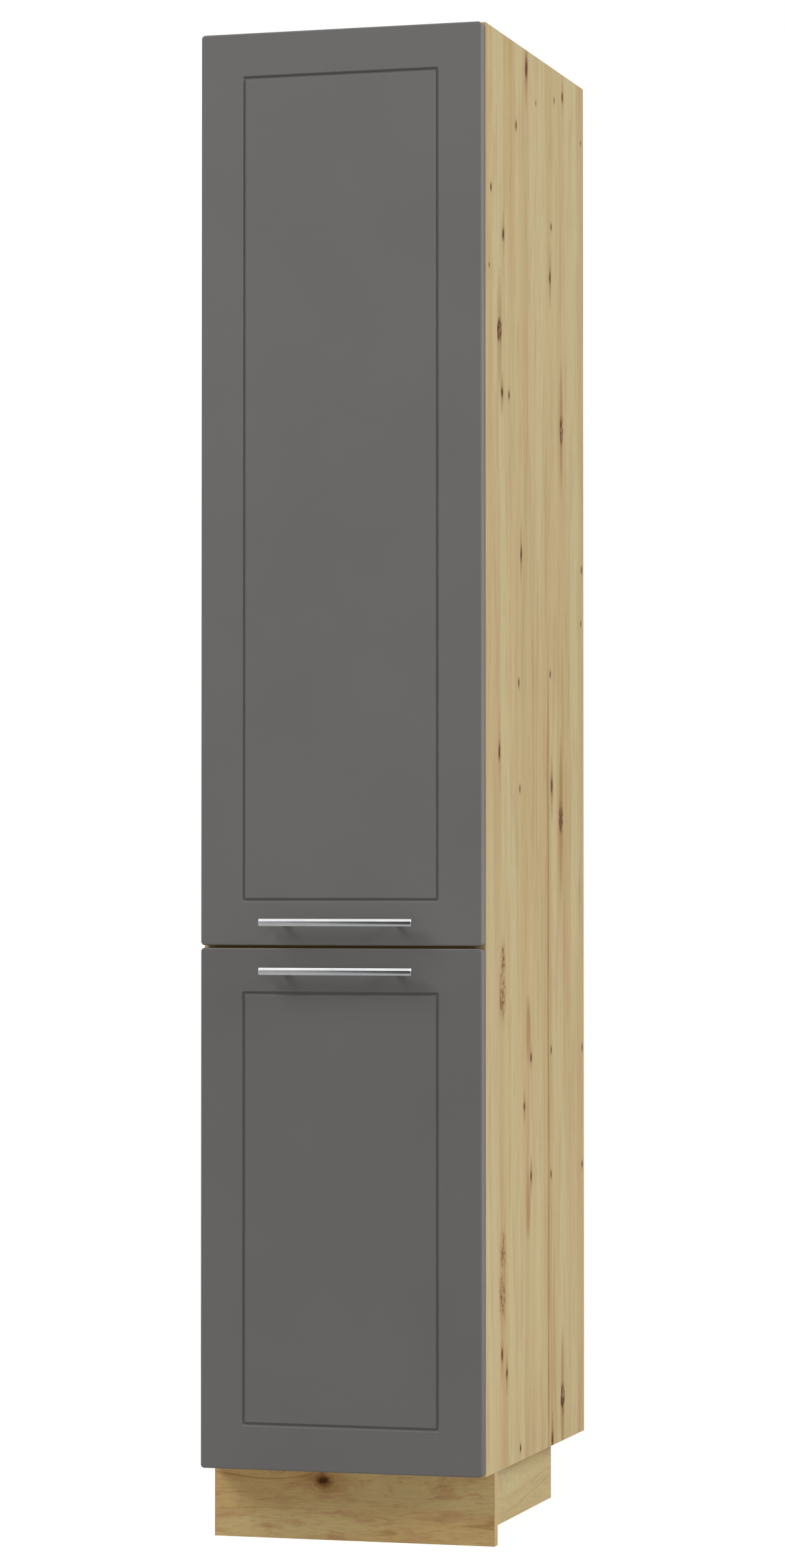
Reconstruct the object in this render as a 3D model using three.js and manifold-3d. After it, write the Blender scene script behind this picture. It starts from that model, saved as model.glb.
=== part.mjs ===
// Pull-out larder unit: a tall 400 mm kitchen cabinet with two fronts, one above the other.
// Each front is carried by its own pull-out: a steel frame on a three-part ball runner, steadied
// by a roller in a guide channel above, with wire baskets hung between the frame's uprights.
// Millimetres. X is across, +Y points at the wall and +Z up. The origin is on the floor, in the
// middle of the unit's outline, handles included.
import * as THREE from "three";
import { mergeVertices } from "three/addons/utils/BufferGeometryUtils.js";
import Module from "manifold-3d";

// ---- Driving dimensions

const GAP = 0.3; // left between solids that touch

const WIDTH = 400; // carcass, outside
const HEIGHT = 2070; // floor to the top of the carcass
const BOARD = 16; // chipboard of the carcass and plinth
const CARCASS_DEPTH = 560;
const BACK_SHEET = 3; // thin fibreboard back
const BACK_RECESS = 14; // from the carcass's rear edges to the back sheet
const BACK_GROOVE = 8; // depth of the groove in each side that holds the back sheet

const PLINTH = 100; // height of the carcass above the floor
const PLINTH_RECESS = 66; // plinth board behind the face of the fronts
const SIDE_PLINTH_RECESS = 50; // side plinth boards behind the outer faces of the sides

const FRONT_WIDTH = 398.5;
const FRONT_THICKNESS = 18;
const FRONT_CLEARANCE = 2; // bumpers hold the fronts off the carcass
const FRONT_EDGE_RADIUS = 3;
const FRONT_CORNER_RADIUS = 5;
const LOWER_FRONT = { bottom: 101, top: 812.5 };
const UPPER_FRONT = { bottom: 816, top: 2068 };

const ROUTED_INSET = 62; // outline of a front to the middle of its routed line
const ROUTED_WIDTH = 6;
const ROUTED_DEPTH = 3;
const ROUTED_FLAT = 0.6; // width of the line's bottom, where its two 45 degree sides meet
const ROUTED_CORNER_RADIUS = 0.9; // outer edge of the line's bottom; the inner one is sharp
const CUTTER_LENGTH = 5; // of the cutter outside the face

const HANDLE_REACH = 28; // face of the front to the face of the bar
const HANDLE_BAR = { length: 216, height: 10, depth: 10, topBevel: 2.9, bottomBevel: 1.7 };
const HANDLE_FROM_EDGE = 31.5; // front's edge at the gap to the middle of the bar
const HANDLE_POST = { spacing: 160, radius: 4.5 };

const RAIL_LENGTH = 480;
const RAIL_SETBACK = 22; // carcass front edge to the rails
const BALL_CAGE_LENGTH = 230;
const BALLS_PER_SIDE = 3;
const BALL_RADIUS = 2.2;

const TUBE = { width: 30, depth: 20, wall: 1.5 }; // frame uprights
const BAR_HEIGHT = 15; // frame bars, as wide as the uprights
const FRAME_SETBACK = 6; // back of the front to the front upright
const FRAME_DEPTH = 498; // over both uprights
const RUNNER_HEIGHT = 22; // cabinet rail's foot to the frame rail's top

const GUIDE = { width: 26, height: 15, wall: 2 };
const ROLLER = { radius: 10, height: 9 };
const STUD_RADIUS = 3;

const BASKET = { width: 338, wallHeight: 110, cornerRadius: 26 };
const BASKET_WIRE = 3.2;
const BASKET_RIM = 6;
const CROSS_WIRES = 5;
const LONG_WIRES = 3;
const LOWER_BASKET_FLOORS = [172, 470]; // heights above the floor
const UPPER_BASKET_FLOORS = [882, 1250, 1618];

const FOOT = { x: 95, front: 120, rear: 510 }; // front and rear are from the face of the fronts
const FOOT_BASE = { radius: 28, rim: 8, shoulder: 11 };
const FOOT_STEM_RADIUS = 10;
const FOOT_LEG_RADIUS = 17;

// ---- Places that follow from the dimensions

const DEPTH = HANDLE_REACH + FRONT_THICKNESS + FRONT_CLEARANCE + CARCASS_DEPTH;
const FACE_Y = HANDLE_REACH - DEPTH / 2; // outer face of the fronts
const CARCASS_Y = FACE_Y + FRONT_THICKNESS + FRONT_CLEARANCE; // carcass front edges
const WALL_Y = DEPTH / 2; // carcass rear edges
const BACK_Y = WALL_Y - BACK_RECESS; // outer face of the back sheet
const INNER_X = WIDTH / 2 - BOARD; // inner face of each side
const SHELF_Z = (LOWER_FRONT.top + UPPER_FRONT.bottom - BOARD) / 2; // under the fixed shelf
const BAY_DEPTH_Y = BACK_Y - BACK_SHEET - 0.6; // rear edge of the top, bottom and shelf
const PLINTH_Y = FACE_Y + PLINTH_RECESS;
const SIDE_PLINTH_X = WIDTH / 2 - SIDE_PLINTH_RECESS; // outer face
const RAIL_Y = CARCASS_Y + RAIL_SETBACK;
const FRAME_Y = FACE_Y + FRONT_THICKNESS + FRAME_SETBACK;

// Each bay runs from the board that carries its rail to the board that carries its guide.
const LOWER_BAY = { name: "lower", floor: PLINTH + BOARD, ceiling: SHELF_Z };
const UPPER_BAY = { name: "upper", floor: SHELF_Z + BOARD, ceiling: HEIGHT - BOARD };

// ---- Finishes

const finish = (color, roughness, metalness = 0) =>
  new THREE.MeshStandardMaterial({ color, roughness, metalness });
const OAK = finish(0xc4ac7f, 0.55);
const GREY_FRONT = finish(0x696866, 0.5);
const WHITE_SHEET = finish(0xe4e2dc, 0.6);
const CHROME = finish(0xd8d9db, 0.12, 1);
const ZINC = finish(0xa9abad, 0.35, 1);
const SILVER_PAINT = finish(0xb4b6b8, 0.45, 0.4);
const BLACK_PLASTIC = finish(0x1e1e1f, 0.55);
const NYLON = finish(0xdedcd4, 0.5);

// ---- Making and placing shapes

const wasm = await Module();
wasm.setup();

function toSolid(geometry) {
  const bare = geometry.clone();
  bare.deleteAttribute("normal");
  bare.deleteAttribute("uv");
  const merged = mergeVertices(bare);
  return new wasm.Manifold(
    new wasm.Mesh({
      numProp: 3,
      vertProperties: merged.attributes.position.array,
      triVerts: new Uint32Array(merged.index.array),
    }),
  );
}

function toGeometry(solid) {
  const mesh = solid.getMesh();
  const geometry = new THREE.BufferGeometry();
  geometry.setAttribute("position", new THREE.BufferAttribute(mesh.vertProperties, 3));
  geometry.setIndex(new THREE.BufferAttribute(mesh.triVerts, 1));
  geometry.computeVertexNormals();
  return geometry;
}

const join = (...parts) => toGeometry(parts.map(toSolid).reduce((a, b) => a.add(b)));
const cut = (body, ...tools) =>
  toGeometry(tools.map(toSolid).reduce((a, b) => a.subtract(b), toSolid(body)));

// A block between two limits on each axis.
function block([x0, x1], [y0, y1], [z0, z1]) {
  const box = new THREE.BoxGeometry(x1 - x0, y1 - y0, z1 - z0);
  return box.translate((x0 + x1) / 2, (y0 + y1) / 2, (z0 + z1) / 2);
}

// Outlines drawn in a shape's own x and y, from a list of corners.
const outline = (corners) => new THREE.Shape(corners.map(([x, y]) => new THREE.Vector2(x, y)));

function roundedRectangle(width, height, radius, Kind = THREE.Shape) {
  const x = width / 2;
  const y = height / 2;
  const shape = new Kind();
  shape.moveTo(-x + radius, -y);
  shape.lineTo(x - radius, -y);
  shape.absarc(x - radius, -y + radius, radius, -Math.PI / 2, 0);
  shape.lineTo(x, y - radius);
  shape.absarc(x - radius, y - radius, radius, 0, Math.PI / 2);
  shape.lineTo(-x + radius, y);
  shape.absarc(-x + radius, y - radius, radius, Math.PI / 2, Math.PI);
  shape.lineTo(-x, -y + radius);
  shape.absarc(-x + radius, -y + radius, radius, Math.PI, 1.5 * Math.PI);
  shape.closePath();
  return shape;
}

// A shape carried along an axis. Along Y its own x and y become X and Z, along X they become Y and Z.
function alongZ(shape, [z0, z1], options = {}) {
  const settings = { depth: z1 - z0, bevelEnabled: false, ...options };
  return new THREE.ExtrudeGeometry(shape, settings).translate(0, 0, z0);
}

function alongY(shape, [y0, y1], options = {}) {
  return alongZ(shape, [0, y1 - y0], options)
    .rotateX(Math.PI / 2)
    .translate(0, y1, 0);
}

function alongX(shape, [x0, x1], options = {}) {
  const turn = new THREE.Matrix4().set(0, 0, 1, x0, 1, 0, 0, 0, 0, 1, 0, 0, 0, 0, 0, 1);
  return alongZ(shape, [0, x1 - x0], options).applyMatrix4(turn);
}

// A round solid on the Z axis, from a closed profile of [radius, height] corners.
function turned(profile, sides = 16) {
  const points = [...profile, profile[0]].map(([r, z]) => new THREE.Vector2(r, z));
  return new THREE.LatheGeometry(points, sides).rotateX(Math.PI / 2);
}

function piece(parent, name, material, geometry, [x, y, z] = [0, 0, 0]) {
  const mesh = new THREE.Mesh(geometry, material);
  mesh.name = name;
  mesh.position.set(x, y, z);
  parent.add(mesh);
  return mesh;
}

function group(parent) {
  const made = new THREE.Group();
  parent.add(made);
  return made;
}

// ---- Carcass: two sides, top, bottom, fixed shelf and a back sheet let into the sides

function addCarcass(unit) {
  const carcass = group(unit);
  const groove = [BACK_Y - BACK_SHEET - GAP, BACK_Y + GAP];
  for (const [side, name] of [
    [-1, "side_panel_left"],
    [1, "side_panel_right"],
  ]) {
    const x = (limits) => limits.map((v) => side * v).sort((a, b) => a - b);
    const board = block(x([INNER_X, WIDTH / 2]), [CARCASS_Y, WALL_Y], [PLINTH, HEIGHT]);
    const slot = block(x([INNER_X - 1, INNER_X + BACK_GROOVE]), groove, [PLINTH - 1, HEIGHT + 1]);
    piece(carcass, name, OAK, cut(board, slot));
  }

  const across = [-INNER_X + GAP, INNER_X - GAP];
  const deep = [CARCASS_Y, BAY_DEPTH_Y];
  piece(carcass, "bottom_panel", OAK, block(across, deep, [PLINTH, PLINTH + BOARD]));
  piece(carcass, "top_panel", OAK, block(across, deep, [HEIGHT - BOARD, HEIGHT]));
  piece(carcass, "middle_shelf", OAK, block(across, deep, [SHELF_Z, SHELF_Z + BOARD]));

  const sheetX = INNER_X + BACK_GROOVE - 0.5;
  const sheet = block([-sheetX, sheetX], [BACK_Y - BACK_SHEET, BACK_Y], [PLINTH + 0.5, HEIGHT - 0.5]);
  piece(carcass, "back_panel", WHITE_SHEET, sheet);
}

// Steel angles under the top, for the screws that tie the unit to the wall.
function addWallBrackets(unit) {
  const leg = 40;
  const steel = 2;
  const halfWidth = 15;
  const section = outline([
    [0, 0],
    [0, -leg],
    [-steel, -leg],
    [-steel, -steel],
    [-leg, -steel],
    [-leg, 0],
  ]);
  for (const [x, name] of [
    [-130, "wall_bracket_left"],
    [130, "wall_bracket_right"],
  ]) {
    const place = [x, BACK_Y - BACK_SHEET - GAP, HEIGHT - BOARD - GAP];
    piece(unit, name, ZINC, alongX(section, [-halfWidth, halfWidth]), place);
  }
}

// ---- Plinth: a board in front, one under each side, and clips that hold them to the feet

function addPlinth(unit) {
  const plinth = group(unit);
  const frontY = [PLINTH_Y, PLINTH_Y + BOARD];
  const sideY = [frontY[1] + GAP, WALL_Y];
  const heightZ = [0, PLINTH - GAP];
  const inner = SIDE_PLINTH_X - BOARD;
  piece(plinth, "plinth_front", OAK, block([-WIDTH / 2, WIDTH / 2], frontY, heightZ));
  piece(plinth, "plinth_side_left", OAK, block([-SIDE_PLINTH_X, -inner], sideY, heightZ));
  piece(plinth, "plinth_side_right", OAK, block([inner, SIDE_PLINTH_X], sideY, heightZ));

  const toFront = plinthClip(FACE_Y + FOOT.front - frontY[1] - GAP);
  const toSide = plinthClip(inner - FOOT.x - GAP);
  for (const [side, hand] of [
    [-1, "left"],
    [1, "right"],
  ]) {
    const x = side * FOOT.x;
    const front = [x, FACE_Y + FOOT.front, 0];
    const rear = [x, FACE_Y + FOOT.rear, 0];
    piece(plinth, `plinth_clip_front_${hand}`, BLACK_PLASTIC, toFront, front);
    const clip = piece(plinth, `plinth_clip_side_${hand}`, BLACK_PLASTIC, toSide, rear);
    clip.rotation.z = (side * Math.PI) / 2;
  }
}

// A springy jaw round the foot's leg, an arm, and a pad against the plinth board at -Y.
function plinthClip(reach) {
  const wall = 3;
  const inside = FOOT_LEG_RADIUS + GAP;
  const outside = inside + wall;
  const mouth = 0.9; // half angle of the jaw's mouth, in radians
  const jawZ = [48, 66];
  const padZ = [40, 74];
  const jaw = new THREE.Shape();
  jaw.absarc(0, 0, outside, Math.PI / 2 + mouth, Math.PI / 2 - mouth + 2 * Math.PI);
  jaw.absarc(0, 0, inside, Math.PI / 2 - mouth + 2 * Math.PI, Math.PI / 2 + mouth, true);
  jaw.closePath();
  const arm = block([-5, 5], [-reach + wall / 2, -inside - wall / 2], jawZ);
  const pad = block([-18, 18], [-reach, -reach + wall], padZ);
  return join(alongZ(jaw, jawZ, { curveSegments: 10 }), arm, pad);
}

// ---- Feet: a socket under the bottom panel and a screwed base that takes up an uneven floor

function footSocket() {
  const top = PLINTH - GAP;
  const plate = { width: 62, cornerRadius: 8, thickness: 4 };
  const bore = FOOT_STEM_RADIUS + 0.5;
  const legBottom = FOOT_BASE.shoulder + GAP;
  const square = roundedRectangle(plate.width, plate.width, plate.cornerRadius);
  const flange = alongZ(square, [top - plate.thickness, top], { curveSegments: 3 });
  const leg = turned([
    [bore, legBottom],
    [FOOT_LEG_RADIUS, legBottom],
    [FOOT_LEG_RADIUS, top - 1],
    [bore, top - 1],
  ]);
  return join(flange, leg);
}

function footBase() {
  const { radius, rim, shoulder } = FOOT_BASE;
  const stemTop = 70;
  return turned([
    [0, 0],
    [radius, 0],
    [radius, rim - 3],
    [radius - 5, rim],
    [FOOT_LEG_RADIUS, shoulder],
    [FOOT_STEM_RADIUS, shoulder],
    [FOOT_STEM_RADIUS, stemTop],
    [0, stemTop],
  ]);
}

function addFeet(unit) {
  const socket = footSocket();
  const base = footBase();
  for (const [end, y] of [
    ["front", FOOT.front],
    ["rear", FOOT.rear],
  ])
    for (const [hand, x] of [
      ["left", -FOOT.x],
      ["right", FOOT.x],
    ]) {
      const foot = group(unit);
      foot.position.set(x, FACE_Y + y, 0);
      piece(foot, `foot_socket_${end}_${hand}`, BLACK_PLASTIC, socket);
      piece(foot, `foot_base_${end}_${hand}`, BLACK_PLASTIC, base);
    }
}

// ---- Runner: cabinet rail, middle rail and frame rail, with a ball cage in each of the two gaps

const RAIL_SECTIONS = {
  cabinet_rail: [
    [-30, 0],
    [30, 0],
    [30, 20],
    [26, 20],
    [26, 18],
    [28, 18],
    [28, 2],
    [-28, 2],
    [-28, 18],
    [-26, 18],
    [-26, 20],
    [-30, 20],
  ],
  middle_rail: [
    [-23, 4.5],
    [23, 4.5],
    [23, 17],
    [19, 17],
    [19, 15],
    [21, 15],
    [21, 6.5],
    [-21, 6.5],
    [-21, 15],
    [-19, 15],
    [-19, 17],
    [-23, 17],
  ],
  frame_rail: [
    [-16, 9],
    [-14, 9],
    [-14, 20],
    [14, 20],
    [14, 9],
    [16, 9],
    [16, RUNNER_HEIGHT],
    [-16, RUNNER_HEIGHT],
  ],
};

function ballCage({ half, foot, top, ballZ }) {
  const wall = 0.9;
  const middle = half - wall / 2;
  const section = outline([
    [-half, foot],
    [half, foot],
    [half, top],
    [half - wall, top],
    [half - wall, foot + wall],
    [-half + wall, foot + wall],
    [-half + wall, top],
    [-half, top],
  ]);
  const parts = [alongY(section, [0, BALL_CAGE_LENGTH])];
  for (let i = 0; i < BALLS_PER_SIDE; i++)
    for (const side of [-1, 1]) {
      const y = (BALL_CAGE_LENGTH * (i + 0.5)) / BALLS_PER_SIDE;
      parts.push(new THREE.OctahedronGeometry(BALL_RADIUS, 1).translate(side * middle, y, ballZ));
    }
  return join(...parts);
}

function addRunner(unit, bay) {
  const runner = group(unit);
  runner.position.set(0, RAIL_Y, bay.floor + GAP);
  for (const [rail, corners] of Object.entries(RAIL_SECTIONS))
    piece(runner, `${bay.name}_${rail}`, ZINC, alongY(outline(corners), [0, RAIL_LENGTH]));
  const cageY = (RAIL_LENGTH - BALL_CAGE_LENGTH) / 2;
  const outerCage = ballCage({ half: 25.95, foot: 2.8, top: 15, ballZ: 10 });
  const innerCage = ballCage({ half: 18.95, foot: 7.2, top: 14, ballZ: 11.5 });
  piece(runner, `${bay.name}_ball_cage_outer`, NYLON, outerCage, [0, cageY, 0]);
  piece(runner, `${bay.name}_ball_cage_inner`, NYLON, innerCage, [0, cageY, 0]);
}

// ---- Guide: an upturned channel above the pull-out

function addGuide(unit, bay) {
  const { width, height, wall } = GUIDE;
  const x = width / 2;
  const section = outline([
    [-x, -height],
    [-x + wall, -height],
    [-x + wall, -wall],
    [x - wall, -wall],
    [x - wall, -height],
    [x, -height],
    [x, 0],
    [-x, 0],
  ]);
  const length = RAIL_LENGTH + 40; // past the roller's place at both ends of its travel
  const place = [0, CARCASS_Y + 12, bay.ceiling - GAP];
  piece(unit, `${bay.name}_top_guide`, ZINC, alongY(section, [0, length]), place);
}

// ---- Pull-out frame: bottom bar, two uprights, top bar with the roller's stud

function tubeSection(width, height) {
  const section = roundedRectangle(width, height, 2);
  const bore = { width: width - 2 * TUBE.wall, height: height - 2 * TUBE.wall };
  section.holes.push(roundedRectangle(bore.width, bore.height, 1, THREE.Path));
  return section;
}

function addFrame(unit, bay) {
  const frame = group(unit);
  const fine = { curveSegments: 2 };
  const underGuide = 3.5; // room over the top bar, where the stud crosses to the guide
  const collarHeight = 5;
  const bottomZ = bay.floor + GAP + RUNNER_HEIGHT + GAP;
  const topZ = bay.ceiling - GAP - GUIDE.height - underGuide;
  const whole = [FRAME_Y, FRAME_Y + FRAME_DEPTH];
  const bar = tubeSection(TUBE.width, BAR_HEIGHT);

  const bottomBar = alongY(bar, whole, fine);
  piece(frame, `${bay.name}_bottom_bar`, SILVER_PAINT, bottomBar, [0, 0, bottomZ + BAR_HEIGHT / 2]);

  const between = [bottomZ + BAR_HEIGHT + GAP, topZ - BAR_HEIGHT - GAP];
  const upright = alongZ(tubeSection(TUBE.width, TUBE.depth), between, fine);
  piece(frame, `${bay.name}_front_upright`, SILVER_PAINT, upright, [0, whole[0] + TUBE.depth / 2, 0]);
  piece(frame, `${bay.name}_rear_upright`, SILVER_PAINT, upright.clone(), [0, whole[1] - TUBE.depth / 2, 0]);

  const rollerY = whole[1] - 12;
  const rollerTop = collarHeight + ROLLER.height;
  const headRadius = STUD_RADIUS + 2.5;
  const headTop = rollerTop + 1.7;
  const stud = turned(
    [
      [0, -1],
      [STUD_RADIUS, -1],
      [STUD_RADIUS, rollerTop + GAP],
      [headRadius, rollerTop + GAP],
      [headRadius, headTop],
      [0, headTop],
    ],
    12,
  ).translate(0, rollerY, BAR_HEIGHT / 2);
  const collar = turned([
    [0, -0.5],
    [2 * STUD_RADIUS, -0.5],
    [2 * STUD_RADIUS, collarHeight - GAP],
    [0, collarHeight - GAP],
  ]).translate(0, rollerY, BAR_HEIGHT / 2);
  const topBar = join(alongY(bar, whole, fine), stud, collar);
  piece(frame, `${bay.name}_top_bar`, SILVER_PAINT, topBar, [0, 0, topZ - BAR_HEIGHT / 2]);

  const bore = STUD_RADIUS + GAP;
  const roller = turned([
    [bore, 0],
    [ROLLER.radius - 1, 0],
    [ROLLER.radius, 1],
    [ROLLER.radius, ROLLER.height - 1],
    [ROLLER.radius - 1, ROLLER.height],
    [bore, ROLLER.height],
  ]);
  piece(frame, `${bay.name}_guide_roller`, NYLON, roller, [0, rollerY, topZ + collarHeight]);
  addFrontCarrier(frame, bay, between);
}

// A long saddle bracket: its base is screwed to the front, its flanges grip the front upright.
function addFrontCarrier(frame, bay, [z0, z1]) {
  const steel = 2;
  const inside = TUBE.width / 2 + GAP;
  const outside = inside + steel;
  const half = 26; // of the base's width
  const endClearance = 30; // from the upright's ends
  const base = FRONT_THICKNESS + GAP;
  const tip = FRONT_THICKNESS + FRAME_SETBACK + TUBE.depth - 3;
  const section = outline([
    [-half, base],
    [half, base],
    [half, base + steel],
    [outside, base + steel],
    [outside, tip],
    [inside, tip],
    [inside, base + steel],
    [-inside, base + steel],
    [-inside, tip],
    [-outside, tip],
    [-outside, base + steel],
    [-half, base + steel],
  ]);
  const carrier = alongZ(section, [z0 + endClearance, z1 - endClearance]);
  piece(frame, `${bay.name}_front_carrier`, ZINC, carrier, [0, FACE_Y, 0]);
}

// ---- Baskets: bent cross wires and long wires in a rim, with a hook plate at each end

// A wire bent to a U: down from the rim, across the floor and up again.
function bentWire(span, height) {
  const outer = 12;
  const inner = outer - BASKET_WIRE;
  const x = span / 2;
  const shape = new THREE.Shape();
  shape.moveTo(-x, height);
  shape.lineTo(-x, outer);
  shape.absarc(-x + outer, outer, outer, Math.PI, 1.5 * Math.PI);
  shape.lineTo(x - outer, 0);
  shape.absarc(x - outer, outer, outer, -Math.PI / 2, 0);
  shape.lineTo(x, height);
  shape.lineTo(x - BASKET_WIRE, height);
  shape.lineTo(x - BASKET_WIRE, outer);
  shape.absarc(x - outer, outer, inner, 0, -Math.PI / 2, true);
  shape.lineTo(-x + outer, BASKET_WIRE);
  shape.absarc(-x + outer, outer, inner, 1.5 * Math.PI, Math.PI, true);
  shape.lineTo(-x + BASKET_WIRE, height);
  shape.closePath();
  return shape;
}

// A closed wire of square section, as the rim and the rail half way up are.
function wireRing(width, length, thickness, [z0, z1]) {
  const radius = BASKET.cornerRadius;
  const hole = { width: width - 2 * thickness, length: length - 2 * thickness };
  const ring = roundedRectangle(width, length, radius);
  ring.holes.push(roundedRectangle(hole.width, hole.length, radius - thickness, THREE.Path));
  return alongZ(ring, [z0, z1], { curveSegments: 2 });
}

function basket(length, plateReach) {
  const { width, wallHeight, cornerRadius } = BASKET;
  const wire = BASKET_WIRE;
  const rimBottom = wallHeight - BASKET_RIM;
  const inset = (BASKET_RIM - wire) / 2; // the wires end under the middle of the rim
  const railZ = wallHeight / 2;
  const weld = 0.6; // crossing wires sink this far into each other
  const plate = { halfWidth: 75, height: 40 };
  const along = [-wire / 2, wire / 2];
  const coarse = { curveSegments: 1 };
  const parts = [
    wireRing(width, length, BASKET_RIM, [rimBottom, wallHeight]),
    wireRing(width, length, inset + weld, [railZ, railZ + wire]),
  ];
  for (let i = 0; i < CROSS_WIRES; i++) {
    const y = (length - 2 * cornerRadius) * (i / (CROSS_WIRES - 1) - 0.5);
    const bent = bentWire(width - 2 * inset, rimBottom + weld);
    parts.push(alongY(bent, along, coarse).translate(0, y, 0));
  }
  for (let i = 0; i < LONG_WIRES; i++) {
    const x = (width - 2 * cornerRadius) * (i / (LONG_WIRES - 1) - 0.5);
    const rise = wire - weld;
    const bent = bentWire(length - 2 * inset, rimBottom + weld - rise);
    parts.push(alongX(bent, along, coarse).translate(x, 0, rise));
  }
  // A hook plate at each end, from the upright's face into the rim.
  for (const end of [-1, 1]) {
    const y = [end * plateReach, end * (length / 2 - inset)].sort((a, b) => a - b);
    const x = [-plate.halfWidth, plate.halfWidth];
    parts.push(block(x, y, [wallHeight - plate.height, wallHeight]));
  }
  return join(...parts);
}

function addBaskets(unit, bay, floors, names) {
  const faces = [FRAME_Y + TUBE.depth, FRAME_Y + FRAME_DEPTH - TUBE.depth];
  const plateReach = (faces[1] - faces[0]) / 2 - GAP;
  const length = 2 * (plateReach - 2);
  const middleY = (faces[0] + faces[1]) / 2;
  const shape = basket(length, plateReach);
  floors.forEach((z, i) =>
    piece(unit, `${bay.name}_basket_${names[i]}`, CHROME, shape.clone(), [0, middleY, z]),
  );
}

// ---- Fronts: a slab with rounded edges and a routed line round its face

function frontGeometry(height) {
  const round = FRONT_EDGE_RADIUS;
  const core = { width: FRONT_WIDTH - 2 * round, height: height - 2 * round };
  const slab = roundedRectangle(core.width, core.height, FRONT_CORNER_RADIUS - round);
  const blank = alongY(slab, [round, FRONT_THICKNESS + round], {
    bevelEnabled: true,
    bevelThickness: round,
    bevelSize: round,
    bevelSegments: 3,
    curveSegments: 3,
  });
  const spoil = block(
    [-FRONT_WIDTH, FRONT_WIDTH],
    [FRONT_THICKNESS, FRONT_THICKNESS + 4 * round],
    [-height, height],
  );
  return cut(blank, spoil, routedLine(height));
}

// The cutter's path is a ring round the face. Its bevel, which is all of it that enters the slab,
// gives the line its V section.
function routedLine(height) {
  const slope = (ROUTED_WIDTH - ROUTED_FLAT) / 2;
  const [x, y] = [FRONT_WIDTH / 2 - ROUTED_INSET, height / 2 - ROUTED_INSET];
  const half = ROUTED_FLAT / 2;
  const ring = roundedRectangle(2 * (x + half), 2 * (y + half), ROUTED_CORNER_RADIUS);
  const inner = outline([
    [half - x, half - y],
    [x - half, half - y],
    [x - half, y - half],
    [half - x, y - half],
  ]);
  ring.holes.push(inner);
  return alongY(ring, [-CUTTER_LENGTH, 0], {
    bevelEnabled: true,
    bevelThickness: ROUTED_DEPTH,
    bevelSize: slope,
    bevelSegments: 1,
    curveSegments: 4,
  });
}

// A bar of bevelled section on two round posts.
function addHandle(unit, bay, z) {
  const { length, height, depth, topBevel, bottomBevel } = HANDLE_BAR;
  const section = outline([
    [bottomBevel, -height / 2],
    [depth, -height / 2],
    [depth, height / 2],
    [topBevel, height / 2],
    [0, height / 2 - topBevel],
    [0, -height / 2 + bottomBevel],
  ]);
  const handle = group(unit);
  handle.position.set(0, FACE_Y - HANDLE_REACH, z);
  piece(handle, `${bay.name}_handle_bar`, CHROME, alongX(section, [-length / 2, length / 2]));
  for (const [side, hand] of [
    [-1, "left"],
    [1, "right"],
  ]) {
    const post = new THREE.CylinderGeometry(
      HANDLE_POST.radius,
      HANDLE_POST.radius,
      HANDLE_REACH - depth - 2 * GAP,
      20,
    );
    const place = [(side * HANDLE_POST.spacing) / 2, (HANDLE_REACH + depth) / 2, 0];
    piece(handle, `${bay.name}_handle_post_${hand}`, CHROME, post, place);
  }
}

function addFront(unit, bay, { bottom, top }, handleZ) {
  const middle = [0, FACE_Y, (bottom + top) / 2];
  piece(unit, `${bay.name}_front`, GREY_FRONT, frontGeometry(top - bottom), middle);
  addHandle(unit, bay, handleZ);
}

// ---- Assembly

const unit = new THREE.Group();
addCarcass(unit);
addWallBrackets(unit);
addPlinth(unit);
addFeet(unit);
for (const bay of [LOWER_BAY, UPPER_BAY]) {
  addRunner(unit, bay);
  addGuide(unit, bay);
  addFrame(unit, bay);
}
addBaskets(unit, LOWER_BAY, LOWER_BASKET_FLOORS, ["bottom", "top"]);
addBaskets(unit, UPPER_BAY, UPPER_BASKET_FLOORS, ["bottom", "middle", "top"]);
addFront(unit, LOWER_BAY, LOWER_FRONT, LOWER_FRONT.top - HANDLE_FROM_EDGE);
addFront(unit, UPPER_BAY, UPPER_FRONT, UPPER_FRONT.bottom + HANDLE_FROM_EDGE);

export default unit;
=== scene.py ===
import math

import bmesh
import bpy
from mathutils import Matrix, Vector


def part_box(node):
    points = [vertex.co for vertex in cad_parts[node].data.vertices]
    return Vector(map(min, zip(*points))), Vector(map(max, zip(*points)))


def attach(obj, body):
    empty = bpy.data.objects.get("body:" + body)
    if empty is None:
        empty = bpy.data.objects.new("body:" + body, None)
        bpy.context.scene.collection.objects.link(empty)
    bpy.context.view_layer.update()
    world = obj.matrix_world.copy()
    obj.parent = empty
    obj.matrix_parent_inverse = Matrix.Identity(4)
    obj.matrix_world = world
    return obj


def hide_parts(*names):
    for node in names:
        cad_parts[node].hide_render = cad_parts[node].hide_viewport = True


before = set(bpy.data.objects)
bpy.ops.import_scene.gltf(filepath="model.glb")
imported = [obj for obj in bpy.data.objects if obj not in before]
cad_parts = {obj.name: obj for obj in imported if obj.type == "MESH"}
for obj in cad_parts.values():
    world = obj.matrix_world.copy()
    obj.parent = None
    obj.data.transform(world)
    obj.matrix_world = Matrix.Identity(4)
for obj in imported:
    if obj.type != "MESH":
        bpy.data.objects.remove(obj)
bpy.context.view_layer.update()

MM = 0.001  # sizes and places below are in millimetres, and a finished mesh is in metres


# ---- Sides of the carcass
# Chipboard 16 mm thick with a printed oak foil on both faces, sawn to size and grooved for the
# back sheet. A plastic band in the same decor is ironed on to the front edge.

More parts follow.
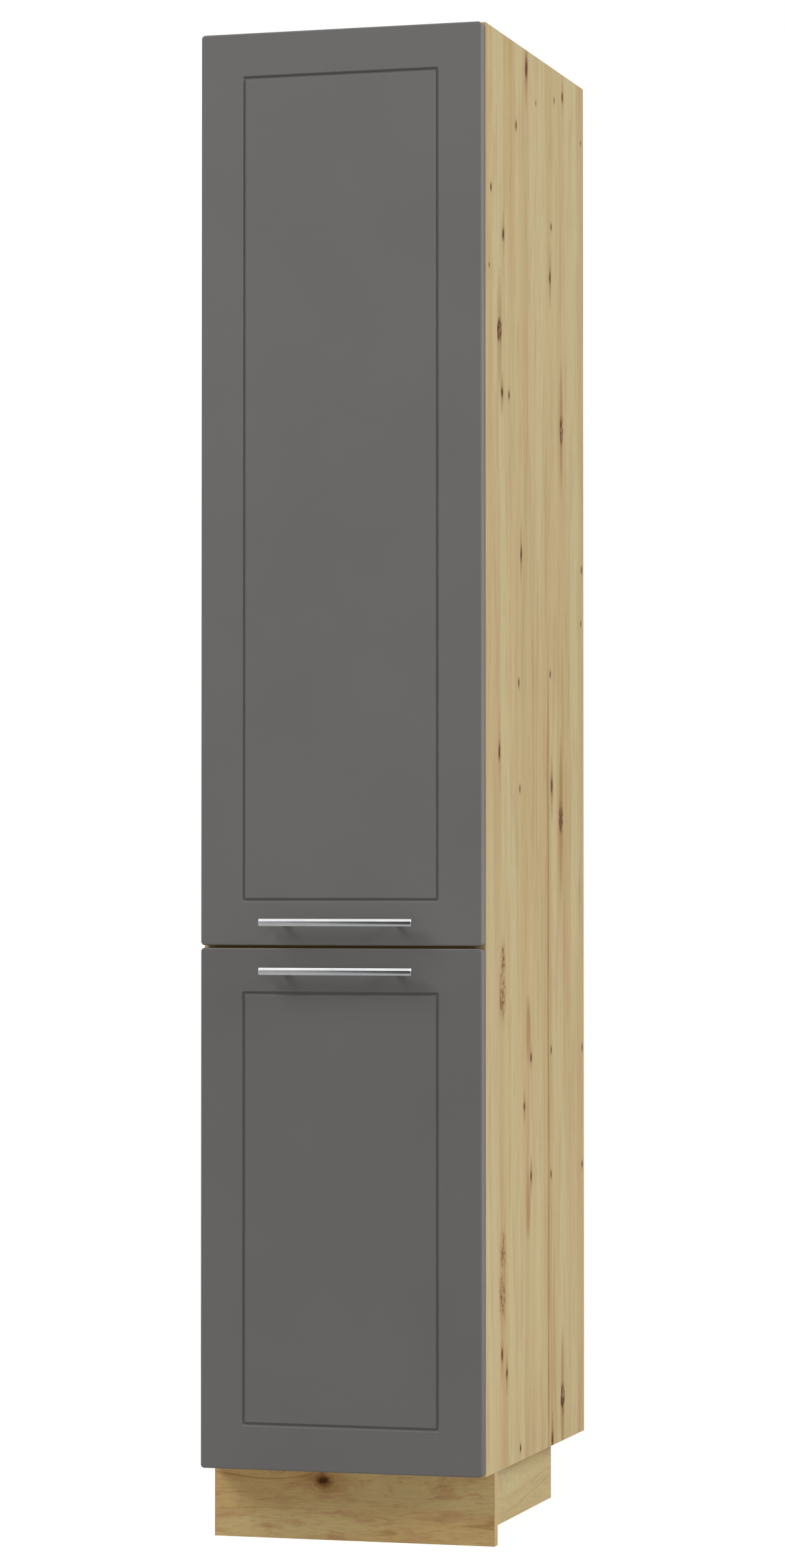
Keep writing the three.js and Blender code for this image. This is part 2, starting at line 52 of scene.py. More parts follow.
def paint(red, green, blue):
    """A colour as seen, 0 to 255, turned into the light that a shader works with."""
    def light(value):
        share = value / 255
        return share / 12.92 if share <= 0.04045 else ((share + 0.055) / 1.055) ** 2.4
    return (light(red), light(green), light(blue), 1.0)


class Wire:
    """An output of a node, so that shader maths reads as plain arithmetic."""

    def __init__(self, graph, socket):
        self.graph, self.socket = graph, socket

    def maths(self, operation, *values):
        return self.graph.node("Math", {"operation": operation}, dict(enumerate(values)))

    def __add__(self, other): return self.maths("ADD", self, other)
    def __radd__(self, other): return self.maths("ADD", other, self)
    def __sub__(self, other): return self.maths("SUBTRACT", self, other)
    def __rsub__(self, other): return self.maths("SUBTRACT", other, self)
    def __mul__(self, other): return self.maths("MULTIPLY", self, other)
    def __rmul__(self, other): return self.maths("MULTIPLY", other, self)
    def __truediv__(self, other): return self.maths("DIVIDE", self, other)
    def __rtruediv__(self, other): return self.maths("DIVIDE", other, self)
    def __pow__(self, other): return self.maths("POWER", self, other)

    def sine(self):
        return self.maths("SINE", self)

    def between(self, low, high):
        """0 up to low, 1 from high on, and a soft step from one to the other."""
        return self.graph.node("MapRange", {"interpolation_type": "SMOOTHSTEP"},
                               {"Value": self, "From Min": low, "From Max": high})


class Graph:
    """The nodes of a material or of the world. One method makes and wires them all."""

    def __init__(self, tree):
        self.tree = tree

    def node(self, kind, settings, sockets, out=0):
        made = self.tree.nodes.new("ShaderNode" + kind)
        for key, value in settings.items():
            if key == "stops":
                stops = made.color_ramp.elements
                stops[0].position, stops[0].color = value[0]
                stops[-1].position, stops[-1].color = value[-1]
                for position, color in value[1:-1]:
                    stops.new(position).color = color
            else:
                setattr(made, key, value)
        for key, value in sockets.items():
            if isinstance(value, Wire):
                self.tree.links.new(value.socket, made.inputs[key])
            else:
                made.inputs[key].default_value = value
        return Wire(self, made.outputs[out])

    def place(self):
        return self.node("TexCoord", {}, {}, out="Object")

    def split(self, vector):
        return [self.node("SeparateXYZ", {}, {0: vector}, out=i) for i in range(3)]

    def vector(self, x, y, z=0.0):
        return self.node("CombineXYZ", {}, {0: x, 1: y, 2: z})

    def noise(self, vector, scale, detail=2.0, roughness=0.5):
        return self.node("TexNoise", {}, {"Vector": vector, "Scale": scale, "Detail": detail,
                                          "Roughness": roughness})

    def blend(self, share, a, b, how="MIX"):
        return self.node("Mix", {"data_type": "RGBA", "blend_type": how},
                         {0: share, 6: a, 7: b}, out=2)

    def bump(self, height, strength, distance):
        return self.node("Bump", {}, {"Height": height, "Strength": strength,
                                      "Distance": distance})


class Finish(Graph):
    """A material: what is the same all over is set here, and what varies is wired in."""

    def __init__(self, name, **constants):
        self.material = bpy.data.materials.new(name)
        self.material.use_nodes = True
        super().__init__(self.material.node_tree)
        self.shader = self.tree.nodes["Principled BSDF"]
        for socket, value in constants.items():
            self.shader.inputs[socket.replace("_", " ")].default_value = value

    def wear(self, **varying):
        for socket, value in varying.items():
            self.tree.links.new(value.socket, self.shader.inputs[socket.replace("_", " ")])
        return self


BIG_KNOT = 8  # half width from which the grain runs round a knot
TAILED_KNOT = 4  # half width from which a knot has brown tails
OAK_CREAM = paint(205, 188, 144)
OAK_BEIGE = paint(199, 175, 129)
OAK_PINK = paint(189, 159, 121)
OAK_BROWN = paint(160, 122, 74)
KNOT_RIM = paint(136, 90, 54)
KNOT_CORE = paint(88, 60, 36)


def oak(name, along, across, knots=(), splits=(), cracks=(), smears=(), seam=None, eyes=(),
        tint_and_painted_light=(1.0, 1.0, 1.0), figure=1.0, short=1.0, seed=0.0):
    """Printed oak. Knots, torn splits, brown cracks, smears and eyes, the pointed ovals of grain,
    are (across, along, half width, half length) in millimetres. A seam is a fine dark line, given
    by its place across and the height it ends at. Figure is the strength of the grain, and short
    tells how many times shorter than usual its marks are."""
    finish = Finish(name, Specular_IOR_Level=0.02)
    axes = dict(zip("xyz", finish.split(finish.place())))
    v = axes[along]
    u = axes[across] + axes[({"x", "y", "z"} - {along, across}).pop()]
    flat = finish.vector(u, v)

    def figured(across, along, detail=2.0, roughness=0.5, layer=0.0):
        return finish.noise(finish.vector(across, along, layer), 1.0, detail, roughness)

    def around(centre_u, centre_v, reach_u, reach_v):
        """Places seen from a centre, in lengths of its reach, and their squared distance."""
        scale = (1000 / reach_u, 1000 / reach_v, 0)
        seen = finish.node("Mapping", {}, {
            "Vector": flat, "Scale": scale,
            "Location": (-centre_u * MM * scale[0], -centre_v * MM * scale[1], 0)})
        return seen, finish.node("VectorMath", {"operation": "DOT_PRODUCT"},
                                 {0: seen, 1: seen}, out="Value")

    def nearest(marks, wider, longer):
        """The squared distance to the nearest of these marks, in lengths of its reach."""
        least = None
        for mark_u, mark_v, half_width, half_length in marks:
            away = around(mark_u, mark_v, half_width * wider, half_length * longer)[1]
            least = away if least is None else least.maths("MINIMUM", least, away)
        return least

    sway = figured(u * 4 + seed, v * 1.3)
    grain = u + (sway - 0.5) * 0.035
    for eye_u, eye_v, half_width, half_length in eyes:
        away = around(eye_u, eye_v, half_width, half_length)[1]
        grain = grain + half_width * MM * 2.2 / (1 + away)
    for knot_u, knot_v, half_width, half_length in knots:
        if half_width >= BIG_KNOT:
            seen, away = around(knot_u, knot_v, half_width, half_length)
            sideways = finish.split(seen)[0]
            grain = grain - sideways * (half_width * MM) / (1 + away * away * 0.12)

    bands = figured(grain * 15 + seed, v * (0.7 * short))
    streaks = figured(grain * 50, v * (4.4 * short) + seed, 4.0, 0.62)
    threads = figured(grain * 36 + seed, v * (1.1 * short), 1.0, layer=4.0)
    lines = figured(grain * 300 + seed, v * (13 * short), 3.0, 0.6)
    fibres = figured(grain * 620, v * 28, 3.0, 0.6)
    pores = figured(grain * 1400, v * 60)
    color = finish.blend(bands.between(0.38, 0.62), OAK_CREAM, OAK_BEIGE)
    color = finish.blend(streaks.between(0.46, 0.7) * (0.55 * figure), color, OAK_PINK)
    off_thread = (threads - 0.5) * (threads - 0.5)
    color = finish.blend(off_thread.between(0.0009, 0.0) * bands.between(0.46, 0.62)
                         * (0.3 * figure), color, OAK_BROWN)
    color = finish.blend(lines.between(0.54, 0.74) * (0.16 * figure), color, OAK_BROWN)
    shade = 1.0 + (0.5 - lines) * (0.14 * figure) + (0.5 - fibres) * (0.22 * figure)
    torn = figured(u * 190, v * 70, 3.0, 0.6, layer=3.0)
    if knots:
        tail = nearest([mark for mark in knots if mark[2] >= TAILED_KNOT], 1.5, 5.0)
        color = finish.blend(tail.between(1.6, 0.0) * streaks.between(0.72, 0.36) * 0.7, color,
                             OAK_BROWN)
        if smears:
            color = finish.blend(nearest(smears, 1.0, 1.0).between(1.4, 0.0)
                                 * (0.4 + streaks.between(0.66, 0.4) * 0.5), color, OAK_BROWN)
        ragged = nearest(knots, 1.0, 1.0) ** 0.5 + (torn - 0.5) * 1.6
        rings = (ragged * 9).sine() * 0.5 + 0.5
        shade = shade - ragged.between(3.2, 1.0) * rings * 0.2
        color = finish.blend(ragged.between(1.7, 0.8) * 0.8, color, KNOT_RIM)
        color = finish.blend(ragged.between(0.85, 0.5), color, KNOT_CORE)
    if splits or cracks:
        fissures = figured(u * 95, v * 38, 3.0, 0.55, layer=5.0)
        off_fissure = (fissures - 0.5) * (fissures - 0.5)
    if splits:
        drawn = nearest(splits, 1.1, 4.5)
        color = finish.blend(drawn.between(1.2, 0.1) * (0.25 + streaks.between(0.66, 0.4) * 0.45),
                             color, OAK_BROWN)
        ragged = nearest(splits, 1.0, 1.0) ** 0.5 + (torn - 0.5) * 0.8
        color = finish.blend(ragged.between(1.1, 0.6) * off_fissure.between(0.02, 0.004) * 0.8,
                             color, KNOT_RIM)
        color = finish.blend(ragged.between(0.95, 0.6) * off_fissure.between(0.004, 0.001), color,
                             KNOT_CORE)
    if cracks:
        ragged = nearest(cracks, 1.0, 1.0) ** 0.5 + (torn - 0.5) * 1.2
        color = finish.blend(ragged.between(2.0, 0.4) * 0.35, color, OAK_BROWN)
        color = finish.blend(ragged.between(1.4, 0.5) * off_fissure.between(0.0035, 0.0) * 0.8,
                             color, KNOT_RIM)
        color = finish.blend(ragged.between(1.2, 0.4) * off_fissure.between(0.0008, 0.0) * 0.5,
                             color, KNOT_CORE)
    if seam:
        seam_across, seam_top = seam
        off_seam = u + (sway - 0.5) * 0.006 - seam_across * MM
        share = v.between(seam_top * MM, seam_top * MM - 0.2)
        share = share * (0.45 + lines.between(0.35, 0.6) * 0.4)
        color = finish.blend((off_seam * off_seam).between(4e-5, 0.0) * share, color, OAK_BROWN)
    shade = finish.node("CombineColor", {}, {0: shade, 1: shade, 2: shade})
    color = finish.blend(1.0, color, shade, "MULTIPLY")
    # The board's own tint multiplies the colour. On the plinth boards and edge bands, painted light
    # and painted shade are multiplied in as well.
    color = finish.blend(1.0, color, (*tint_and_painted_light, 1.0), "MULTIPLY")
    color = finish.blend(pores.between(0.58, 0.74) * (0.15 * figure), color, OAK_BROWN)
    relief = lines * 0.5 - pores.between(0.55, 0.75)
    return finish.wear(Base_Color=color, Roughness=0.44 + streaks * 0.16,
                       Normal=finish.bump(relief, 0.1, 0.0002))


def raw_chipboard():
    """Sawn chipboard: light and dark chips, pressed flat."""
    finish = Finish("raw_chipboard", Roughness=0.85)
    place = finish.place()
    chips = finish.node("TexVoronoi", {"feature": "F1"}, {"Vector": place, "Scale": 420.0},
                        out="Color")
    tone = finish.node("SeparateColor", {}, {0: chips})
    dust = finish.noise(place, 1400.0, 3.0)
    color = finish.node("ValToRGB", {"stops": [
        (0.0, paint(120, 88, 56)), (0.45, paint(176, 141, 98)), (1.0, paint(214, 186, 143))]},
        {0: tone * 0.75 + dust * 0.25})
    return finish.wear(Base_Color=color, Normal=finish.bump(tone + dust, 0.5, 0.0004))


def limits(node):
    """The lowest and highest x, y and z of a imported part, in millimetres."""
    low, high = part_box(node)
    return [(a / MM, b / MM) for a, b in zip(low, high)]


def mid(span):
    return (span[0] + span[1]) / 2


def ease_edges(bm, edges, radius, segments=2):
    bmesh.ops.bevel(bm, geom=list(edges), offset=radius, offset_type="OFFSET", affect="EDGES",
                    segments=segments, profile=0.5, material=-1)


def block(bm, x, y, z, ease=0.0, segments=2):
    """A box between two limits on each axis, with its edges eased."""
    corners = bmesh.ops.create_cube(bm, size=1)["verts"]
    bmesh.ops.scale(bm, vec=[b - a for a, b in (x, y, z)], verts=corners)
    bmesh.ops.translate(bm, vec=[(a + b) / 2 for a, b in (x, y, z)], verts=corners)
    if ease:
        ease_edges(bm, {edge for corner in corners for edge in corner.link_edges}, ease, segments)


def section(bm, corners, axis, ends, ease=0.0, segments=2):
    """An outline drawn out along an axis, with its long edges eased. The outline's corners are
    (x, y) along z, (x, z) along y and (y, z) along x."""
    where = "xyz".index(axis)
    foot = [bm.verts.new((*corner[:where], ends[0], *corner[where:])) for corner in corners]
    grown = bmesh.ops.extrude_face_region(bm, geom=[bm.faces.new(foot)])["geom"]
    head = [part for part in grown if isinstance(part, bmesh.types.BMVert)]
    run = [0, 0, 0]
    run[where] = ends[1] - ends[0]
    bmesh.ops.translate(bm, vec=run, verts=head)
    if ease:
        starts = set(foot)
        ease_edges(bm, {edge for corner in head for edge in corner.link_edges
                        if edge.other_vert(corner) in starts}, ease, segments)


SAME_PLACE = 0.002  # corners this close together become one


def piece(name, bm, finishes, body, nodes=(), crease=38):
    """Closes a mesh, gives it its finishes and lets it ride on its body in place of its nodes."""
    bmesh.ops.remove_doubles(bm, verts=bm.verts, dist=SAME_PLACE)
    bmesh.ops.recalc_face_normals(bm, faces=bm.faces)
    bmesh.ops.scale(bm, vec=(MM, MM, MM), verts=bm.verts)
    mesh = bpy.data.meshes.new(name)
    bm.to_mesh(mesh)
    bm.free()
    for finish in finishes:
        mesh.materials.append(finish.material)
    mesh.shade_smooth()
    mesh.set_sharp_from_angle(angle=math.radians(crease))
    made = bpy.data.objects.new(name, mesh)
    bpy.context.scene.collection.objects.link(made)
    flats = made.modifiers.new("flat faces stay flat", "WEIGHTED_NORMAL")
    flats.keep_sharp = True
    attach(made, body)
    if nodes:
        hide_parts(*nodes)


def bare(bm, *directions):
    """Faces that look these ways show the raw board."""
    bm.normal_update()
    for face in bm.faces:
        if any(face.normal.dot(Vector(way)) > 0.9 for way in directions):
            face.material_index = 1


# Marks of the sides: y on the side, height, half width and half length
RIGHT_SIDE = {
    "knots": [
        (-33, 2045, 6, 13), (-90, 1956, 3, 6), (177, 2038, 4, 6), (21, 2004, 2, 3),
        (128, 2025, 2, 4), (288, 1988, 2, 3), (-227, 1850, 3, 5), (110, 1841, 3, 5),
        (-161, 1794, 5, 7), (-237, 1742, 2, 3), (103, 1767, 4, 9), (-168, 1575, 5, 6),
        (-130, 1575, 3, 5), (-63, 1360, 4, 9), (292, 1360, 3, 5), (-77, 1179, 3, 6),
        (103, 1199, 3, 5), (288, 1281, 2, 4), (-183, 1081, 4, 11), (111, 1040, 5, 10),
        (-71, 1032, 3, 5), (-9, 656, 4, 6), (107, 663, 3, 5), (293, 661, 3, 5),
        (-47, 590, 4, 5), (-9, 491, 4, 6), (106, 486, 3, 5), (292, 490, 3, 5),
        (-170, 257, 4, 8), (-144, 229, 4, 6), (113, 109, 5, 8), (-70, 117, 3, 5)],
    "splits": [(-182, 1658, 14, 20), (169, 1554, 11, 24), (165, 996, 13, 28), (173, 160, 13, 26)],
    "cracks": [(-163, 794, 11, 22), (-167, 750, 15, 32), (-165, 395, 13, 24), (-168, 340, 14, 34)],
    "smears": [(-24, 694, 13, 50), (-26, 452, 13, 50)],
}
LEFT_SIDE = {
    "knots": [(-60, 1720, 5, 9), (90, 1330, 4, 8), (-110, 930, 5, 9), (60, 720, 3, 6),
              (130, 395, 4, 8), (-20, 1950, 3, 5), (210, 1540, 3, 5), (-150, 420, 3, 6)],
    "splits": [(150, 1910, 12, 22), (-190, 1490, 14, 24), (200, 1105, 12, 26),
               (-200, 560, 13, 24), (-20, 240, 12, 20)],
}


BAND = 1.0  # thickness of the edge bands
BAND_EASE = 0.3
BOARD_EASE = 0.35
GROOVE_CLEARANCE = 0.3


def edge_band(name, x, y, z, finish):
    bm = bmesh.new()
    block(bm, x, y, z, BAND_EASE)
    piece(name, bm, [finish], "carcass")


chipboard = raw_chipboard()
# The upright edge bands are painted a little warmer than the other oak. This is painted light that
# keeps them brown in the shade beside the grey fronts.
oak_upright = oak("oak_edge_upright", "z", "y", seed=7.0, tint_and_painted_light=(1.04, 0.97, 0.88))
back_x, back_y, _ = limits("back_panel")
for hand, way, side, seam, seed in (("left", -1, LEFT_SIDE, None, 4.0),
                                    ("right", 1, RIGHT_SIDE, (291, 1300), 1.0)):
    node = f"side_panel_{hand}"
    x, y, z = limits(node)
    inner, outer = (x[0], x[1]) if way > 0 else (x[1], x[0])
    marks = {kind: [(across + outer, *rest) for across, *rest in listed]
             for kind, listed in side.items()}  # across is y + x in the finish
    oak_side = oak(f"oak_side_{hand}", "z", "y", seam=seam, seed=seed, **marks)
    groove_x = back_x[0 if way < 0 else 1] + way * GROOVE_CLEARANCE
    groove = (back_y[0] - GROOVE_CLEARANCE, back_y[1] + GROOVE_CLEARANCE)
    bm = bmesh.new()
    section(bm, [(outer, y[0] + BAND), (outer, y[1]), (inner, y[1]), (inner, groove[1]),
                 (groove_x, groove[1]), (groove_x, groove[0]), (inner, groove[0]),
                 (inner, y[0] + BAND)], "z", z, BOARD_EASE, segments=1)
    bare(bm, (0, 1, 0), (0, 0, 1), (0, 0, -1))
    piece(f"carcass_side_{hand}", bm, [oak_side, chipboard], "carcass", [node])
    edge_band(f"side_edge_band_{hand}", x, (y[0], y[0] + BAND), z, oak_upright)


# ---- Top, bottom and fixed shelf
# The same board, fixed between the sides with dowels and cam fittings. The shelf parts the two
# pull-outs, and its banded front edge shows in the gap between the fronts.

# Across is y + z in this finish, so each of the three boards shows other knots of the list.
oak_across = oak("oak_boards_across", "x", "y", seed=11.0, knots=[
    (170, -90, 9, 14), (-120, 60, 4, 8), (1000, -60, 5, 9), (2180, 110, 6, 9)])
# These edge bands are painted a deeper orange-brown than the other oak. This is painted shade of
# the gap between the fronts, where the shelf's band shows.
oak_edge_across = oak("oak_edge_across", "x", "z", seed=5.0, tint_and_painted_light=(1.1, 0.84, 0.55))
for node in ("bottom_panel", "middle_shelf", "top_panel"):
    x, y, z = limits(node)
    bm = bmesh.new()
    block(bm, x, (y[0] + BAND, y[1]), z, BOARD_EASE, segments=1)
    bare(bm, (0, 1, 0), (1, 0, 0), (-1, 0, 0))
    piece(f"carcass_{node}", bm, [oak_across, chipboard], "carcass", [node])
    edge_band(f"{node}_edge_band", x, (y[0], y[0] + BAND), z, oak_edge_across)


# ---- Back sheet
# Thin hard fibreboard, lacquered white, slid into the grooves of the sides before the unit is
# tied together. Its fibres show faintly through the lacquer.

def white_sheet():
    finish = Finish("back_lacquer")
    place = finish.place()
    fibres = finish.noise(finish.node("Mapping", {}, {"Vector": place, "Scale": (1, 1, 0.3)}),
                          900.0, 4.0, 0.65)
    cloud = finish.noise(place, 9.0, 3.0)
    color = finish.blend(cloud.between(0.3, 0.7), paint(228, 226, 220), paint(236, 234, 229))
    return finish.wear(Base_Color=color, Roughness=0.4 + fibres * 0.2,
                       Normal=finish.bump(fibres, 0.25, 0.0003))


x, y, z = limits("back_panel")
bm = bmesh.new()
block(bm, x, y, z, ease=0.25, segments=1)
piece("back_sheet_panel", bm, [white_sheet()], "carcass", ["back_panel"])


# ---- Wall brackets
# Angles pressed from zinc-plated steel, screwed up into the top. A long screw through the slot
# of the upright leg ties the unit to the wall.

def zinc_steel():
    finish = Finish("zinc_plate", Metallic=1.0)
    place = finish.place()
    rolled = finish.noise(finish.node("Mapping", {}, {"Vector": place, "Scale": (1, 0.05, 1)}),
                          900.0, 3.0)
    bloom = finish.noise(place, 130.0, 3.0, 0.6)
    color = finish.blend(bloom.between(0.35, 0.7), paint(186, 189, 192), paint(206, 207, 206))
    return finish.wear(Base_Color=color, Roughness=0.24 + bloom * 0.18 + rolled * 0.08,
                       Normal=finish.bump(rolled + bloom, 0.08, 0.0002))


def turned(bm, profile, centre, axis="z", steps=32, ring=False):
    """A round form: (radius, height) corners spun a full turn about an axis through centre. A
    ring's corners close on themselves, and other profiles start and end on the axis."""
    known = set(bm.verts)
    line = [bm.verts.new((radius, 0, height)) for radius, height in profile]
    pairs = zip(line, line[1:] + line[:1]) if ring else zip(line, line[1:])
    edges = [bm.edges.new(pair) for pair in pairs]
    bmesh.ops.spin(bm, geom=line + edges, cent=(0, 0, 0), axis=(0, 0, 1), angle=math.tau,
                   steps=steps, use_merge=True)
    made = [vert for vert in bm.verts if vert not in known]
    bmesh.ops.remove_doubles(bm, verts=made, dist=SAME_PLACE)
    made = [vert for vert in bm.verts if vert not in known]
    turn = {"z": Matrix(), "y": Matrix.Rotation(math.pi / 2, 4, "X"),
            "-y": Matrix.Rotation(-math.pi / 2, 4, "X"),
            "-z": Matrix.Rotation(math.pi, 4, "X")}[axis]
    bmesh.ops.transform(bm, matrix=Matrix.Translation(centre) @ turn, verts=made)


def screw_head(bm, centre, axis, radius, height):
    """A domed head with a round driving recess, standing on its face. The sizes of screws below
    are a radius and a height."""
    turned(bm, [(0, 0), (radius, 0), (radius, height * 0.35), (radius * 0.86, height * 0.78),
                (radius * 0.55, height), (radius * 0.4, height), (radius * 0.2, height * 0.35),
                (0, height * 0.35)], centre, axis, steps=20)


zinc = zinc_steel()
BRACKET_STEEL = 2
BRACKET_SCREW = (4.2, 2.4)
WALL_SCREWS = (12, 26)  # down from the bracket's top
TOP_SCREW = 13  # in from its front edge
for hand in ("left", "right"):
    node = f"wall_bracket_{hand}"
    x, y, z = limits(node)
    bm = bmesh.new()
    section(bm, [(y[1], z[1]), (y[1], z[0]), (y[1] - BRACKET_STEEL, z[0]),
                 (y[1] - BRACKET_STEEL, z[1] - BRACKET_STEEL), (y[0], z[1] - BRACKET_STEEL),
                 (y[0], z[1])], "x", x, ease=0.7)
    for down in WALL_SCREWS:
        screw_head(bm, (mid(x), y[1] - BRACKET_STEEL, z[1] - down), "y", *BRACKET_SCREW)
    screw_head(bm, (mid(x), y[0] + TOP_SCREW, z[1] - BRACKET_STEEL), "-z", *BRACKET_SCREW)
    piece(f"wall_angle_{hand}", bm, [zinc], "carcass", [node])


# ---- Levelling feet
# Black moulded plastic. The socket is screwed under the bottom board, and its leg holds a base
# with a coarse thread that is turned to take up an uneven floor.

def black_plastic():
    finish = Finish("moulded_black_plastic")
    place = finish.place()
    spark = finish.noise(place, 2600.0, 3.0, 0.6)
    flow = finish.noise(place, 45.0, 2.0)
    color = finish.blend(flow.between(0.3, 0.7), paint(30, 30, 31), paint(38, 38, 39))
    return finish.wear(Base_Color=color, Roughness=0.42 + spark * 0.16 + flow * 0.06,
                       Normal=finish.bump(spark, 0.3, 0.00015))


black = black_plastic()
SOCKET_PLATE = 4
LEG_RADIUS = 17
STEM_RADIUS = 10
BASE_RADIUS = 28
THREAD_FOOT, THREAD_PITCH = 12, 4
RIB_REACH, RIB_HALF, RIB_DEPTH = 27, 1.2, 9
for end in ("front", "rear"):
    for hand in ("left", "right"):
        socket, base = f"foot_socket_{end}_{hand}", f"foot_base_{end}_{hand}"
        x, y, z = limits(socket)
        middle = (mid(x), mid(y), 0)
        under = z[1] - SOCKET_PLATE
        bore = STEM_RADIUS + 0.5
        bm = bmesh.new()
        block(bm, x, y, (under, z[1]), ease=1.2)
        turned(bm, [(bore, z[0]), (LEG_RADIUS - 0.8, z[0]), (LEG_RADIUS, z[0] + 0.8),
                    (LEG_RADIUS, under - 3), (LEG_RADIUS + 3, under + 0.5), (bore, under + 0.5)],
               middle, ring=True)
        for ribs in (0, math.pi / 2):
            known = set(bm.verts)
            block(bm, (-RIB_REACH, RIB_REACH), (-RIB_HALF, RIB_HALF),
                  (under - RIB_DEPTH, under + 1))
            ribbed = [vert for vert in bm.verts if vert not in known]
            for vert in ribbed:
                if vert.co.z < under - RIB_DEPTH / 2:
                    vert.co.x *= (LEG_RADIUS + 1) / RIB_REACH
            bmesh.ops.transform(bm, verts=ribbed, matrix=Matrix.Translation(middle)
                                @ Matrix.Rotation(ribs, 4, "Z"))
        piece(f"levelling_socket_{end}_{hand}", bm, [black], "carcass", [socket])

        radius, top = BASE_RADIUS, limits(base)[2][1]
        thread = []
        for turn in range(int((top - THREAD_FOOT - 2) / THREAD_PITCH)):
            low = THREAD_FOOT + turn * THREAD_PITCH
            thread += [(STEM_RADIUS - 1, low), (STEM_RADIUS - 1, low + 1.4),
                       (STEM_RADIUS, low + 2.2), (STEM_RADIUS, low + 3.2)]
        bm = bmesh.new()
        turned(bm, [(0, 0), (radius - 0.8, 0), (radius, 0.8), (radius, 4.6), (radius - 0.8, 5.6),
                    (radius - 5, 8), (LEG_RADIUS, 11), *thread, (STEM_RADIUS - 1, top - 0.6),
                    (STEM_RADIUS - 2, top), (0, top)], middle)
        piece(f"levelling_base_{end}_{hand}", bm, [black], f"foot_{end}_{hand}",
              [base])


# ---- Plinth
# Boards 100 mm high in the same oak decor, with the grain lying down. Springy plastic clips on
# their backs snap round the legs of the feet, so the plinth pulls off for cleaning.

plinth_face = limits("plinth_front")[1][0]  # across is z + y in the finish of this board
# The front plinth is darker and more orange than the other oak. This is partly its own print and
# partly painted shade under the fronts.
oak_plinth = oak("oak_plinth_front", "x", "z", seed=2.0, tint_and_painted_light=(0.91, 0.84, 0.72), figure=1.9,
                 short=4.0, knots=[(81 + plinth_face, -43, 8, 9)],
                 eyes=[(66 + plinth_face, 85, 9, 60), (90 + plinth_face, -110, 8, 26)])
# The plinth sides are painted lighter than their oak. This is painted light that offsets the shade
# under the carcass.
oak_plinth_side = oak("oak_plinth_sides", "y", "z", seed=9.0, tint_and_painted_light=(1.04, 1.1, 1.12), short=2.0,
                      eyes=[(195, 60, 10, 90)])
for node in ("plinth_front", "plinth_side_left", "plinth_side_right"):
    x, y, z = limits(node)
    bm = bmesh.new()
    if node == "plinth_front":
        block(bm, (x[0] + BAND, x[1] - BAND), y, z, BOARD_EASE, segments=1)
        piece("plinth_board_front", bm, [oak_plinth], "carcass", [node])
        for hand, band in (("left", (x[0], x[0] + BAND)), ("right", (x[1] - BAND, x[1]))):
            edge_band(f"plinth_edge_band_{hand}", band, y, z, oak_upright)
    else:
        block(bm, x, y, z, BOARD_EASE, segments=1)
        bare(bm, (0, 1, 0), (0, -1, 0))
        piece(node.replace("plinth", "plinth_board"), bm, [oak_plinth_side, chipboard],
              "carcass", [node])

CLIP_JAW = (48, 66)  # heights above the floor
CLIP_PAD = (40, 74)
CLIP_WALL = 3
CLIP_PLAY = 0.3
CLIP_NECK_HALF, CLIP_PAD_HALF = 5, 18
CLIP_EASE = 0.8
CLIP_BORE = LEG_RADIUS + CLIP_PLAY
CLIP_MOUTH = 0.9  # half the opening of the jaw, in radians
for end, foot in (("front", "front"), ("side", "rear")):
    for hand, way in (("left", -1), ("right", 1)):
        x, y, _ = limits(f"foot_base_{foot}_{hand}")
        if end == "front":
            reach, turn = mid(y) - limits("plinth_front")[1][1], 0
        else:
            board = limits(f"plinth_side_{hand}")[0]
            reach, turn = abs(board[hand == "left"] - mid(x)), way * math.pi / 2
        reach -= CLIP_PLAY
        bm = bmesh.new()
        jaw = [bm.verts.new((0, radius, height)) for radius, height in
               ((CLIP_BORE, CLIP_JAW[0]), (CLIP_BORE + CLIP_WALL, CLIP_JAW[0]),
                (CLIP_BORE + CLIP_WALL, CLIP_JAW[1]), (CLIP_BORE, CLIP_JAW[1]))]
        bmesh.ops.rotate(bm, cent=(0, 0, 0), matrix=Matrix.Rotation(CLIP_MOUTH, 3, "Z"), verts=jaw)
        bmesh.ops.spin(bm, geom=[bm.faces.new(jaw)], cent=(0, 0, 0), axis=(0, 0, 1),
                       angle=math.tau - 2 * CLIP_MOUTH, steps=28)
        block(bm, (-CLIP_NECK_HALF, CLIP_NECK_HALF),
              (-reach + CLIP_WALL / 2, -LEG_RADIUS - CLIP_WALL / 2), CLIP_JAW, CLIP_EASE)
        block(bm, (-CLIP_PAD_HALF, CLIP_PAD_HALF), (-reach, -reach + CLIP_WALL), CLIP_PAD,
              CLIP_EASE)
        bmesh.ops.transform(bm, verts=bm.verts, matrix=Matrix.Translation((mid(x), mid(y), 0))
                            @ Matrix.Rotation(turn, 4, "Z"))
        piece(f"plinth_spring_clip_{end}_{hand}", bm, [black], "carcass",
              [f"plinth_clip_{end}_{hand}"])


# ---- Runners and guides
# Rolled and zinc-plated steel. Each pull-out stands on a full-extension runner of three rails
# with balls between them, and a channel screwed under the board above keeps it upright.

def bright_steel():
    finish = Finish("ball_steel", Metallic=1.0)
    film = finish.noise(finish.place(), 260.0, 3.0)
    color = finish.blend(film.between(0.3, 0.7), paint(205, 206, 208), paint(222, 222, 221))
    return finish.wear(Base_Color=color, Roughness=0.08 + film * 0.12)


